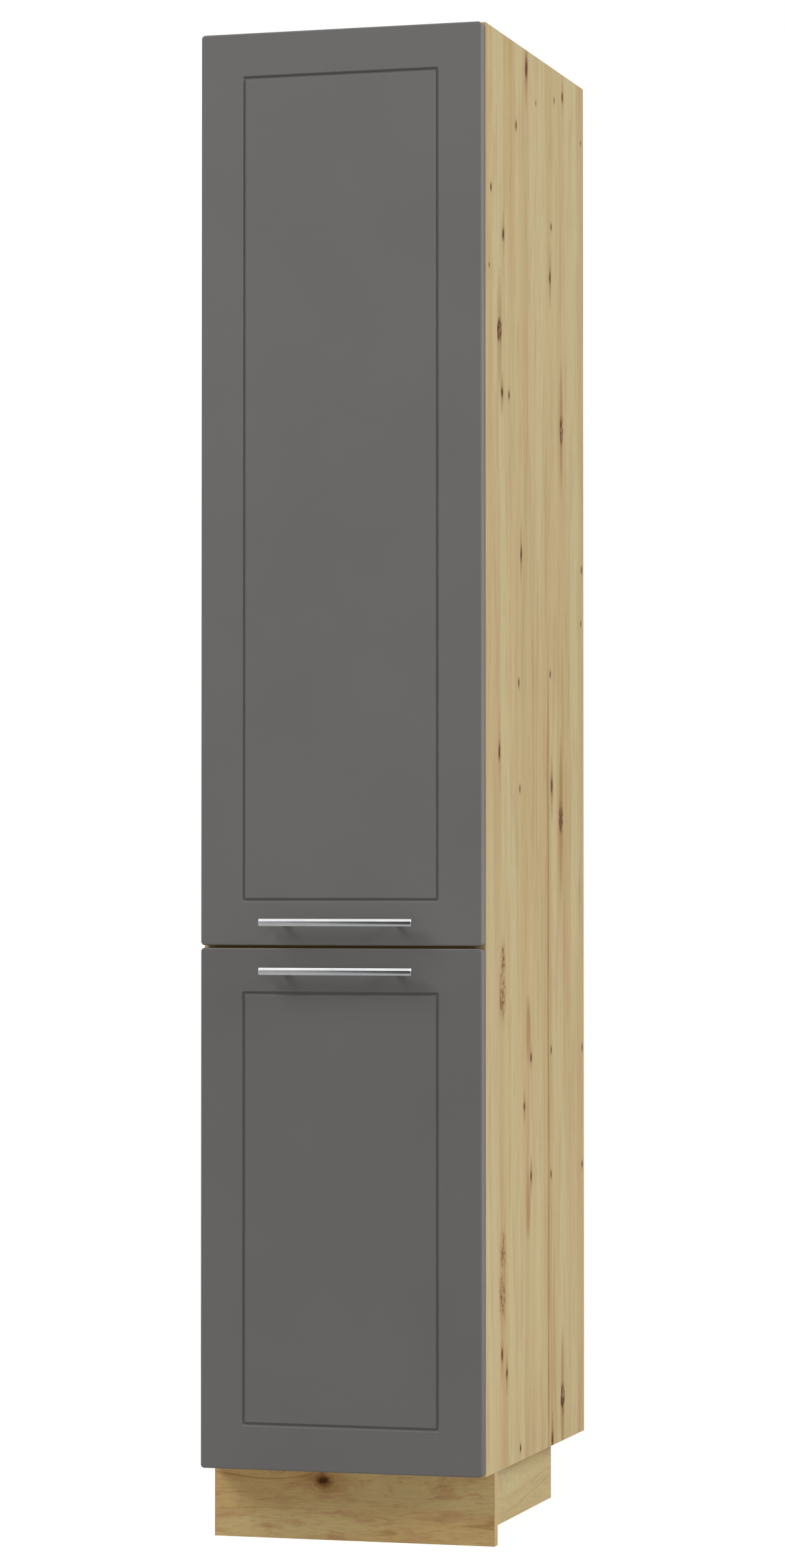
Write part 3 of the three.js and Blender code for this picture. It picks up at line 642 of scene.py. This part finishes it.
def white_nylon():
    finish = Finish("white_nylon")
    place = finish.place()
    cloud = finish.noise(place, 60.0, 3.0)
    skin = finish.noise(place, 1800.0, 2.0)
    color = finish.blend(cloud.between(0.3, 0.7), paint(219, 217, 209), paint(228, 226, 219))
    return finish.wear(Base_Color=color, Roughness=0.34 + skin * 0.16,
                       Normal=finish.bump(skin, 0.12, 0.0002))


def channel(half, foot, top, wall, lip=0):
    """The outline of a bent strip: a web at the foot, flanges up to the top, and lips that turn
    in. With its foot above its top it stands on its head."""
    way = math.copysign(wall, top - foot)
    right = [(half, foot), (half, top), (half - wall - lip, top)]
    if lip:
        right += [(half - wall - lip, top - way), (half - wall, top - way)]
    right.append((half - wall, foot + way))
    return right + [(-x, z) for x, z in reversed(right)]


steel_balls, nylon = bright_steel(), white_nylon()
RAILS = {  # half width, foot, top and lip
    "cabinet_rail": (30, 0, 20, 2), "middle_rail": (23, 4.5, 17, 2),
    "frame_rail": (16, 22, 9, 0)}
RAIL_WALL = 2
CAGES = {  # half width, foot and top, and height of the balls' middles
    "outer": (25.95, 2.8, 15, 10), "inner": (18.95, 7.2, 14, 11.5)}
CAGE_WALL = 0.9
BALL_RADIUS = 2.2
BALLS_A_SIDE = 9
GUIDE_WALL = 2
ROLLED_EASE = 0.55
RAIL_SCREW = (4, 2)
RAIL_SCREWS = (0.08, 0.36, 0.64, 0.92)  # shares of the rail's length
rail_bodies = {"cabinet_rail": "carcass", "middle_rail": "{}_middle_slide",
               "frame_rail": "{}_pullout"}
for bay in ("lower", "upper"):
    foot_z = limits(f"{bay}_cabinet_rail")[2][0]
    for rail, (half, foot, top, lip) in RAILS.items():
        node = f"{bay}_{rail}"
        y = limits(node)[1]
        bm = bmesh.new()
        section(bm, channel(half, foot_z + foot, foot_z + top, RAIL_WALL, lip), "y", y,
                ROLLED_EASE)
        if rail == "cabinet_rail":
            for share in RAIL_SCREWS:
                screw_head(bm, (0, y[0] + share * (y[1] - y[0]), foot_z + 2), "z", *RAIL_SCREW)
        piece(f"{bay}_runner_{rail}", bm, [zinc], rail_bodies[rail].format(bay),
              [node])

    for cage, (half, foot, top, ball_z) in CAGES.items():
        node = f"{bay}_ball_cage_{cage}"
        y = limits(node)[1]
        bm = bmesh.new()
        section(bm, channel(half, foot_z + foot, foot_z + top, CAGE_WALL), "y", y, ease=0.3)
        known = set(bm.faces)
        for i in range(BALLS_A_SIDE):
            for way in (-1, 1):
                along = y[0] + (i + 0.5) * (y[1] - y[0]) / BALLS_A_SIDE
                centre = (way * (half - CAGE_WALL / 2), along, foot_z + ball_z)
                bmesh.ops.create_icosphere(bm, subdivisions=2, radius=BALL_RADIUS,
                                           matrix=Matrix.Translation(centre))
        for face in bm.faces:
            if face not in known:
                face.material_index = 1
        piece(f"{bay}_balls_in_{cage}_cage", bm, [nylon, steel_balls], f"{bay}_{cage}_cage",
              [node])

    node = f"{bay}_top_guide"
    x, y, z = limits(node)
    bm = bmesh.new()
    section(bm, channel(x[1], z[1], z[0], GUIDE_WALL), "y", y, ROLLED_EASE)
    piece(f"{bay}_guide_channel", bm, [zinc], "carcass", [node])


# ---- Frames and guide rollers
# Welded steel tube with a silver-grey powder coat: a bar below that is screwed to the runner, two
# uprights and a bar above, whose stud carries a nylon roller that runs in the guide.

def powder_coat():
    finish = Finish("silver_powder_coat", Metallic=0.25)
    place = finish.place()
    peel = finish.noise(place, 520.0, 3.0, 0.55)
    flake = finish.noise(place, 3800.0, 1.0)
    color = finish.blend(flake.between(0.35, 0.7), paint(172, 175, 178), paint(193, 195, 197))
    return finish.wear(Base_Color=color, Roughness=0.32 + peel * 0.18,
                       Normal=finish.bump(peel, 0.25, 0.0003))


def rounded(bm, width, height, radius, place, steps=6):
    """A closed loop of edges: a rectangle in its own plane with rounded corners."""
    corners = bmesh.ops.create_grid(bm, x_segments=1, y_segments=1, size=0.5)["verts"]
    bmesh.ops.scale(bm, vec=(width, height, 1), verts=corners)
    made = bmesh.ops.bevel(bm, geom=corners, offset=radius, offset_type="OFFSET",
                           affect="VERTICES", segments=steps, profile=0.5, material=-1)
    face = made["faces"][0] if made["faces"] else made["verts"][0].link_faces[0]
    loop, verts = list(face.edges), list(face.verts)
    bmesh.ops.delete(bm, geom=[face], context="FACES_ONLY")
    bmesh.ops.transform(bm, matrix=place, verts=verts)
    return loop


def skin(bm, loops, closed=False):
    """Faces from each loop of edges to the next, and caps or a joint at the ends."""
    following = loops[1:] + loops[:1] if closed else loops[1:]
    for loop, after in zip(loops, following):
        bmesh.ops.bridge_loops(bm, edges=loop + after)
    if not closed:
        for loop in (loops[0], loops[-1]):
            bmesh.ops.edgeloop_fill(bm, edges=loop)


def tube(bm, across, up, wall, axis, ends):
    """A rectangular tube with rounded corners. Across and up are its limits on the other axes."""
    size = (across[1] - across[0], up[1] - up[0])
    turn = Matrix.Rotation(math.pi / 2, 4, "X") if axis == "y" else Matrix()
    loops = []
    for inset, end in ((0, ends[0]), (0, ends[1]), (wall, ends[1]), (wall, ends[0])):
        where = (mid(across), end, mid(up)) if axis == "y" else (mid(across), mid(up), end)
        loops.append(rounded(bm, size[0] - 2 * inset, size[1] - 2 * inset, TUBE_CORNER - inset,
                             Matrix.Translation(where) @ turn, steps=4))
    skin(bm, loops, closed=True)


silver = powder_coat()
TUBE_WALL = 1.5
TUBE_CORNER = 2.4
BAR_HEIGHT = 15
ROLLER_RADIUS = 10
STUD_RADIUS = 3
for bay in ("lower", "upper"):
    body = f"{bay}_pullout"
    _, y, (low, high) = limits(f"{bay}_guide_roller")
    roller_y = mid(y)
    for bar in ("bottom_bar", "top_bar"):
        node = f"{bay}_{bar}"
        x, y, z = limits(node)
        bar_top = z[0] + BAR_HEIGHT
        bm = bmesh.new()
        tube(bm, x, (z[0], bar_top), TUBE_WALL, "y", y)
        if bar == "top_bar":
            top = z[1] - bar_top
            turned(bm, [(0, -0.5), (5.4, -0.5), (6, 0.2), (6, 4.2), (5.5, 4.7), (STUD_RADIUS, 4.7),
                        (STUD_RADIUS, top - 1.4), (5.5, top - 1.4), (5.2, top - 0.4),
                        (4.2, top), (0, top)], (0, roller_y, bar_top))
        piece(f"{bay}_frame_{bar}", bm, [silver], body, [node])
    for upright in ("front_upright", "rear_upright"):
        node = f"{bay}_{upright}"
        x, y, z = limits(node)
        bm = bmesh.new()
        tube(bm, x, y, TUBE_WALL, "z", z)
        piece(f"{bay}_frame_{upright}", bm, [silver], body, [node])

    bm = bmesh.new()
    bore, hub = STUD_RADIUS + 0.3, STUD_RADIUS + 3
    turned(bm, [(bore, low), (ROLLER_RADIUS - 1.2, low), (ROLLER_RADIUS - 0.4, low + 0.5),
                (ROLLER_RADIUS, low + 1.6), (ROLLER_RADIUS, high - 1.6),
                (ROLLER_RADIUS - 0.4, high - 0.5), (ROLLER_RADIUS - 1.2, high),
                (hub, high), (hub - 0.4, high - 0.5), (bore, high - 0.5)],
           (0, roller_y, 0), steps=40, ring=True)
    piece(f"{bay}_nylon_roller", bm, [nylon], f"{bay}_roller",
          [f"{bay}_guide_roller"])


# ---- Brackets that carry the fronts
# One long zinc-plated saddle to each front. Its wings are screwed to the back of the front, and
# its two flanges grip the front upright of the frame.

SADDLE_STEEL = 2
GRIP = 15.3  # half the width between the flanges
FLANGE = GRIP + SADDLE_STEEL
WING_SCREW_X = 21.6
WING_SCREW = (3.6, 2)
SCREW_SPACING = 250
SCREW_MARGIN = 25
for bay in ("lower", "upper"):
    node = f"{bay}_front_carrier"
    x, y, z = limits(node)
    wing = y[0] + SADDLE_STEEL
    bm = bmesh.new()
    section(bm, [(x[0], y[0]), (x[1], y[0]), (x[1], wing), (FLANGE, wing), (FLANGE, y[1]),
                 (GRIP, y[1]), (GRIP, wing), (-GRIP, wing), (-GRIP, y[1]), (-FLANGE, y[1]),
                 (-FLANGE, wing), (x[0], wing)], "z", z, ease=0.5)
    rows = max(3, round((z[1] - z[0]) / SCREW_SPACING) + 1)
    for row in range(rows):
        height = z[0] + SCREW_MARGIN + row * (z[1] - z[0] - 2 * SCREW_MARGIN) / (rows - 1)
        for way in (-1, 1):
            screw_head(bm, (way * WING_SCREW_X, wing, height), "-y", *WING_SCREW)
    piece(f"{bay}_front_saddle", bm, [zinc], f"{bay}_pullout", [node])


# ---- Wire baskets
# Drawn steel wire, cut, bent to a U both ways, spot-welded into a 6 mm rim and chromed. A pressed
# plate at each end hooks the basket on to the uprights.

def chrome_plate(name, dark, light, face=None):
    """Polished chrome. Face is the lowest and highest z of a face that bulges a little."""
    finish = Finish(name, Metallic=1.0)
    place = finish.place()
    haze = finish.noise(place, 38.0, 3.0, 0.6)
    swirl = finish.noise(place, 700.0, 3.0)
    color = finish.blend(haze.between(0.3, 0.7), dark, light)
    if face:
        off = finish.split(place)[2] - mid(face) * MM
        rim = ((face[1] - face[0]) / 2 * MM) ** 2
        bulge = off.maths("MINIMUM", off * off, rim) * -CROWN
        finish.wear(Normal=finish.bump(bulge, 1.0, 1.0))
    return finish.wear(Base_Color=color, Roughness=0.06 + haze * 0.06 + swirl * 0.03)


def bent_wire(bm, start, heading, moves, thickness, sides=8, ring=False, steps=5):
    """A round wire that runs straight, (length,), or is bent, (angle, radius, axis), in turn."""
    here, heading = Vector(start), Vector(heading)
    turn = heading.to_track_quat("Z", "Y").to_matrix().to_4x4()
    verts = bmesh.ops.create_circle(bm, cap_ends=not ring, segments=sides, radius=thickness / 2,
                                    matrix=Matrix.Translation(here) @ turn)["verts"]
    edges = list({edge for vert in verts for edge in vert.link_edges})
    for move in moves:
        if len(move) == 1:
            grown = bmesh.ops.extrude_edge_only(bm, edges=edges)["geom"]
            verts = [part for part in grown if isinstance(part, bmesh.types.BMVert)]
            bmesh.ops.translate(bm, vec=heading * move[0], verts=verts)
            here = here + heading * move[0]
        else:
            angle, radius, axis = move
            centre = here + Vector(axis).cross(heading) * radius
            grown = bmesh.ops.spin(bm, geom=verts + edges, cent=centre, axis=axis, angle=angle,
                                   steps=steps)["geom_last"]
            verts = [part for part in grown if isinstance(part, bmesh.types.BMVert)]
            swing = Matrix.Rotation(angle, 3, axis)
            here, heading = centre + swing @ (here - centre), swing @ heading
        ends = set(verts)
        edges = [part for part in grown if isinstance(part, bmesh.types.BMEdge)
                 and set(part.verts) <= ends]
    if not ring:
        bmesh.ops.edgeloop_fill(bm, edges=edges)


chrome = chrome_plate("chrome_plate", paint(192, 195, 199), paint(206, 207, 209))
RIM = 6
BASKET_WIRE = 3.2
RAIL_WIRE = 4
RAIL_HEIGHT = 56
RIM_RADIUS = 23  # bend of the rim, to the middle of its wire
WIRE_BEND = 10.4
WIRE_SPACING = 22
WELD = 0.5
PLATE_HALF, PLATE_HEIGHT = 75, 40
PLATE_IN, PLATE_OUT = 1.4, 2  # its faces, from the rim's outer side
for node in ("lower_basket_bottom", "lower_basket_top", "upper_basket_bottom",
             "upper_basket_middle", "upper_basket_top"):
    x, y, z = limits(node)
    y = (y[0] + PLATE_OUT, y[1] - PLATE_OUT)  # the rim, without the end plates
    bm = bmesh.new()
    for thick, height in ((RIM, z[1] - RIM / 2), (RAIL_WIRE, z[0] + RAIL_HEIGHT)):
        side, bend = x[1] - thick / 2, RIM_RADIUS
        runs = (2 * side - 2 * bend, y[1] - y[0] - thick - 2 * bend)
        moves = [(runs[0],), (math.pi / 2, bend, (0, 0, 1)), (runs[1],),
                 (math.pi / 2, bend, (0, 0, 1))]
        bent_wire(bm, (-side + bend, y[0] + thick / 2, height), (1, 0, 0), moves * 2, thick,
                  sides=12, ring=True)
    top = z[1] - RIM + WELD
    tall = top - z[0] - BASKET_WIRE / 2 - WIRE_BEND
    across, deep = x[1] - x[0] - RIM, y[1] - y[0] - RIM
    for span, spread, leg, turn in (
            (across, deep, tall, (-math.pi / 2, WIRE_BEND, (0, 1, 0))),
            (deep, across, tall - BASKET_WIRE + WELD, (math.pi / 2, WIRE_BEND, (1, 0, 0)))):
        moves = [(leg,), turn, (span - 2 * WIRE_BEND,), turn, (leg,)]
        rows = round((spread - 2 * RIM_RADIUS) / WIRE_SPACING)
        for row in range(rows + 1):
            place = (spread - 2 * RIM_RADIUS) * (row / rows - 0.5)
            start = (x[0] + RIM / 2, mid(y) + place) if span is across else (place, y[0] + RIM / 2)
            bent_wire(bm, (*start, top), (0, 0, -1), moves, BASKET_WIRE)
    for plate in ((y[0] - PLATE_OUT, y[0] + PLATE_IN), (y[1] - PLATE_IN, y[1] + PLATE_OUT)):
        block(bm, (-PLATE_HALF, PLATE_HALF), plate, (z[1] - PLATE_HEIGHT, z[1]), ease=1.2)
    piece(f"{node}_wires", bm, [chrome], f"{node[:5]}_pullout", [node], crease=60)


# ---- Fronts
# Fibreboard 18 mm thick, cut to size with a routed frame line and rounded edges, then pressed
# over with a matt grey foil that wraps the face and all four edges.

def grey_foil(bay, tone):
    finish = Finish(f"grey_foil_{bay}")
    place = finish.place()
    grain = finish.noise(place, 2400.0, 3.0, 0.6)
    cloud = finish.noise(place, 6.0, 3.0)
    color = finish.blend(cloud.between(0.25, 0.75), paint(97, 96, 94), paint(100, 99, 97))
    color = finish.blend(grain.between(0.4, 0.7) * 0.3, color, paint(91, 90, 89))
    # Multiplied by the bay's painted light, so the upper front is painted lighter.
    color = finish.blend(1.0, color, (tone, tone, tone, 1), "MULTIPLY")
    return finish.wear(Base_Color=color, Roughness=0.42 + grain * 0.14,
                       Normal=finish.bump(grain, 0.12, 0.0001))


# The upper front's foil is painted 10% lighter than the lower one's. This is painted light: both
# fronts have the same foil.
FOIL_PAINTED_LIGHT = {"lower": 1.0, "upper": 1.1}
EDGE_RADIUS, EDGE_STEPS = 2.2, 8
BACK_CHAMFER = 0.5
CORNER_RADIUS = 5
LINE_INSET = 62  # outline to the middle of the routed line
LINE_REACH = 3  # half its width, and its depth
LINE_CORNER = 0.6  # radius of the cutter's path at the corners
for bay in ("lower", "upper"):
    node = f"{bay}_front"
    x, y, z = limits(node)
    width, height, thickness = x[1] - x[0], z[1] - z[0], y[1] - y[0]
    profile = [(BACK_CHAMFER, thickness), (0, thickness - BACK_CHAMFER)]
    for step in range(EDGE_STEPS + 1):
        turn = math.pi / 2 * step / EDGE_STEPS
        profile.append((EDGE_RADIUS * (1 - math.cos(turn)), EDGE_RADIUS * (1 - math.sin(turn))))
    slope = [(-LINE_REACH - 0.25, 0), (-LINE_REACH, 0.05), (-LINE_REACH + 0.25, 0.2),
             (-0.55, LINE_REACH - 0.4), (-0.3, LINE_REACH - 0.2), (0, LINE_REACH - 0.12)]
    profile += [(LINE_INSET + off, depth) for off, depth in slope]
    profile += [(LINE_INSET - off, depth) for off, depth in slope[-2::-1]]
    bm = bmesh.new()
    loops = []
    for inset, depth in profile:
        radius = CORNER_RADIUS - inset if inset < 10 else LINE_CORNER + LINE_INSET - inset
        place = Matrix.Translation((0, y[0] + depth, mid(z))) @ Matrix.Rotation(math.pi / 2, 4, "X")
        loops.append(rounded(bm, width - 2 * inset, height - 2 * inset, max(0.3, radius), place,
                             steps=8))
    skin(bm, loops)
    piece(f"{bay}_front_slab", bm, [grey_foil(bay, FOIL_PAINTED_LIGHT[bay])], f"{bay}_pullout",
          [node], crease=30)


# ---- Handles
# A drawn bar of bevelled section on two round posts, chromed. Two machine screws come through the
# front into the posts.

HANDLE_CHAMFER = 0.25
TOP_BEVEL, BOTTOM_BEVEL = 3.2, 2.4  # heights of the two bevels
BEVEL_DEPTH = 2.0
POST_CHAMFER = 0.4
POST_SCREW = (4, 1.8)
CROWN = 12.0  # half the slope of the bulging face, per metre from its middle
for bay in ("lower", "upper"):
    node = f"{bay}_handle_bar"
    x, y, z = limits(node)
    bm = bmesh.new()
    face = (z[0] + BOTTOM_BEVEL, z[1] - TOP_BEVEL)
    section(bm, [(y[0] + BEVEL_DEPTH, z[0]), (y[1], z[0]), (y[1], z[1]),
                 (y[0] + BEVEL_DEPTH, z[1]), (y[0], face[1]), (y[0], face[0])], "x", x,
            ease=0.2)
    ends = [end for end in bm.faces if abs(end.normal.x) > 0.99]
    ease_edges(bm, {edge for end in ends for edge in end.edges}, HANDLE_CHAMFER, segments=1)
    bright = chrome_plate(f"chrome_{bay}_bar", paint(226, 228, 230), paint(236, 236, 236), face)
    piece(f"{bay}_pull_bar", bm, [bright], f"{bay}_pullout", [node], crease=25)
    front_back = limits(f"{bay}_front")[1][1]
    bm = bmesh.new()
    for hand in ("left", "right"):
        post = f"{bay}_handle_post_{hand}"
        px, py, pz = limits(post)
        radius, long = (px[1] - px[0]) / 2, py[1] - py[0]
        post_bm = bmesh.new()
        turned(post_bm, [(0, 0), (radius, 0), (radius, long - POST_CHAMFER),
                         (radius - POST_CHAMFER, long), (0, long)],
               (mid(px), py[1], mid(pz)), "y", steps=40)
        piece(f"{bay}_pull_post_{hand}", post_bm, [chrome], f"{bay}_pullout", [post])
        screw_head(bm, (mid(px), front_back, mid(pz)), "-y", *POST_SCREW)
    piece(f"{bay}_handle_screws", bm, [zinc], f"{bay}_pullout")


# ---- Soft bumpers
# Small clear domes of soft plastic, stuck to the back of each front near its corners. They take
# the knock when a pull-out is pushed shut and leave the 2 mm gap.

def clear_plastic():
    finish = Finish("clear_bumper", Transmission_Weight=0.6, IOR=1.45)
    cloud = finish.noise(finish.place(), 160.0, 2.0)
    color = finish.blend(cloud.between(0.3, 0.7), paint(214, 217, 216), paint(226, 228, 226))
    return finish.wear(Base_Color=color, Roughness=0.2 + cloud * 0.15)


clear = clear_plastic()
BUMPER_RADIUS, BUMPER_HEIGHT = 4, 1.7
BUMPER_IN = (8, 10)  # from the front's sides, and from its top and bottom
dome = [(0, 0), (1, 0), (0.97, 0.4), (0.75, 0.8), (0.4, 1), (0, 1)]
for bay in ("lower", "upper"):
    x, y, z = limits(f"{bay}_front")
    bm = bmesh.new()
    for along in (x[0] + BUMPER_IN[0], x[1] - BUMPER_IN[0]):
        for height in (z[0] + BUMPER_IN[1], z[1] - BUMPER_IN[1]):
            turned(bm, [(BUMPER_RADIUS * out, BUMPER_HEIGHT * up) for out, up in dome],
                   (along, y[1], height), "-y", steps=24)
    piece(f"{bay}_bumpers", bm, [clear], f"{bay}_pullout")


# ---- Floor, light and camera
# A plain pale floor in a white studio: a broad soft light in front at the left, another one at the
# right, and even light from all round.

def surroundings(graph, seen, mirrored, shed):
    """How bright it is to the eye, in reflections, and as light on everything else."""
    level = shed
    for ray, value in (("Is Glossy Ray", mirrored), ("Is Transmission Ray", seen),
                       ("Is Camera Ray", seen)):
        share = graph.node("LightPath", {}, {}, out=ray)
        level = graph.node("Mix", {"data_type": "FLOAT"}, {0: share, 2: level, 3: value})
    return level


def stage(name, bm, finish):
    """A mesh, made in metres, that stands round the unit and isn't part of it."""
    mesh = bpy.data.meshes.new(name)
    bm.to_mesh(mesh)
    bm.free()
    mesh.materials.append(finish.material)
    made = bpy.data.objects.new(name, mesh)
    bpy.context.scene.collection.objects.link(made)
    return made


AMBIENT = 0.39
world = bpy.data.worlds.new("studio")
world.use_nodes = True
bpy.context.scene.world = world
world.node_tree.links.new(surroundings(Graph(world.node_tree), 1.0, 1.0, AMBIENT).socket,
                          world.node_tree.nodes["Background"].inputs["Color"])

FLOOR_FADE = (1.2, 2.6)  # metres from the unit, where the lit floor turns into plain white
floor_finish = Finish("studio_floor", Roughness=0.9, Specular_IOR_Level=0.0,
                      Emission_Strength=1.0)
x, y, z = floor_finish.split(floor_finish.place())
speck = floor_finish.noise(floor_finish.place(), 3.0, 2.0)
floor_finish.wear(
    Base_Color=floor_finish.blend(speck, paint(186, 186, 186), paint(190, 190, 190)),
    Emission_Color=surroundings(floor_finish, 0.77, 0.0, 0.3))
far_floor = floor_finish.node("Emission", {}, {
    "Color": surroundings(floor_finish, 1.0, 1.0, AMBIENT)})
nearness = ((x * x + y * y) ** 0.5).between(*FLOOR_FADE)
spread = floor_finish.node("MixShader", {}, {
    0: nearness, 1: Wire(floor_finish, floor_finish.shader.outputs[0]), 2: far_floor})
floor_finish.tree.links.new(spread.socket,
                            floor_finish.tree.nodes["Material Output"].inputs["Surface"])
bm = bmesh.new()
bmesh.ops.create_circle(bm, cap_ends=True, segments=96, radius=40)
stage("studio_floor", bm, floor_finish)


LIT_POINT = Vector((0, -0.25, 1.05))  # the middle of the unit, in metres
OUTWARD = Vector((0, -1, 0))  # the way the fronts look


def soft_light(name, towards, distance, size, level):
    """An area lamp that shines on the middle of the unit. Its second size lies towards the way
    that the fronts look, and its first across that. Level is what it adds to white."""
    towards = Vector(towards).normalized()
    along = (OUTWARD - towards * OUTWARD.dot(towards)).normalized()
    lamp = bpy.data.lights.new(name, "AREA")
    lamp.shape, lamp.size, lamp.size_y = "ELLIPSE", *size
    lamp.energy = level * (math.pi * distance) ** 2
    made = bpy.data.objects.new(name, lamp)
    made.location = LIT_POINT + towards * distance
    made.rotation_euler = Matrix((along.cross(towards), along, towards)).transposed().to_euler()
    bpy.context.scene.collection.objects.link(made)


soft_light("key_light", (-0.56, -0.5, 0.64), 16.0, (8.1, 9.9), 0.54)
soft_light("side_light", (0.9, -0.16, 0.42), 9.0, (4.0, 4.0), 0.47)

# A board in front of the unit that only reflections show. It darkens to the right.
CARD = ((-1.9, 0.1), (-3.32, -3.31), (-0.3, 1.5))  # its limits, in metres
card_finish = Finish("handle_reflection", Base_Color=(0, 0, 0, 1), Roughness=1.0,
                     Specular_IOR_Level=0.0, Emission_Strength=1.0)
card_x, _, card_z = card_finish.split(card_finish.place())
tone = card_finish.node("ValToRGB", {"stops": [
    (share, (grey, grey, grey, 1)) for share, grey in
    ((0.0, 0.46), (0.37, 0.4), (0.47, 0.32), (0.6, 0.12), (0.72, 0.05), (1.0, 0.04))]},
    {0: card_x * 1.54 + card_z * 0.45 + 1.55})
card_finish.wear(Emission_Color=tone)
bm = bmesh.new()
block(bm, *CARD)
card = stage("reflection_card", bm, card_finish)
card.visible_camera = card.visible_diffuse = card.visible_shadow = False
card.visible_transmission = card.visible_volume_scatter = False

bpy.context.scene.view_settings.view_transform = "Standard"

IMAGE_HEIGHT = 2514
FOCAL = 7466.5  # in pixels of the photograph
SENSOR = 36  # millimetres, along the picture's longer side
STANDPOINT = (1.8169, -6.3460, 0.9007)  # in metres
PITCH, TURN = 0.02133, 0.27955  # up and to the left, in radians
camera_data = bpy.data.cameras.new("camera")
camera_data.sensor_width = SENSOR
camera_data.lens = SENSOR * FOCAL / IMAGE_HEIGHT
camera_data.clip_end = 200
camera = bpy.data.objects.new("camera", camera_data)
camera.location = STANDPOINT
camera.rotation_euler = (math.pi / 2 + PITCH, 0, TURN)
bpy.context.scene.collection.objects.link(camera)
bpy.context.scene.camera = camera
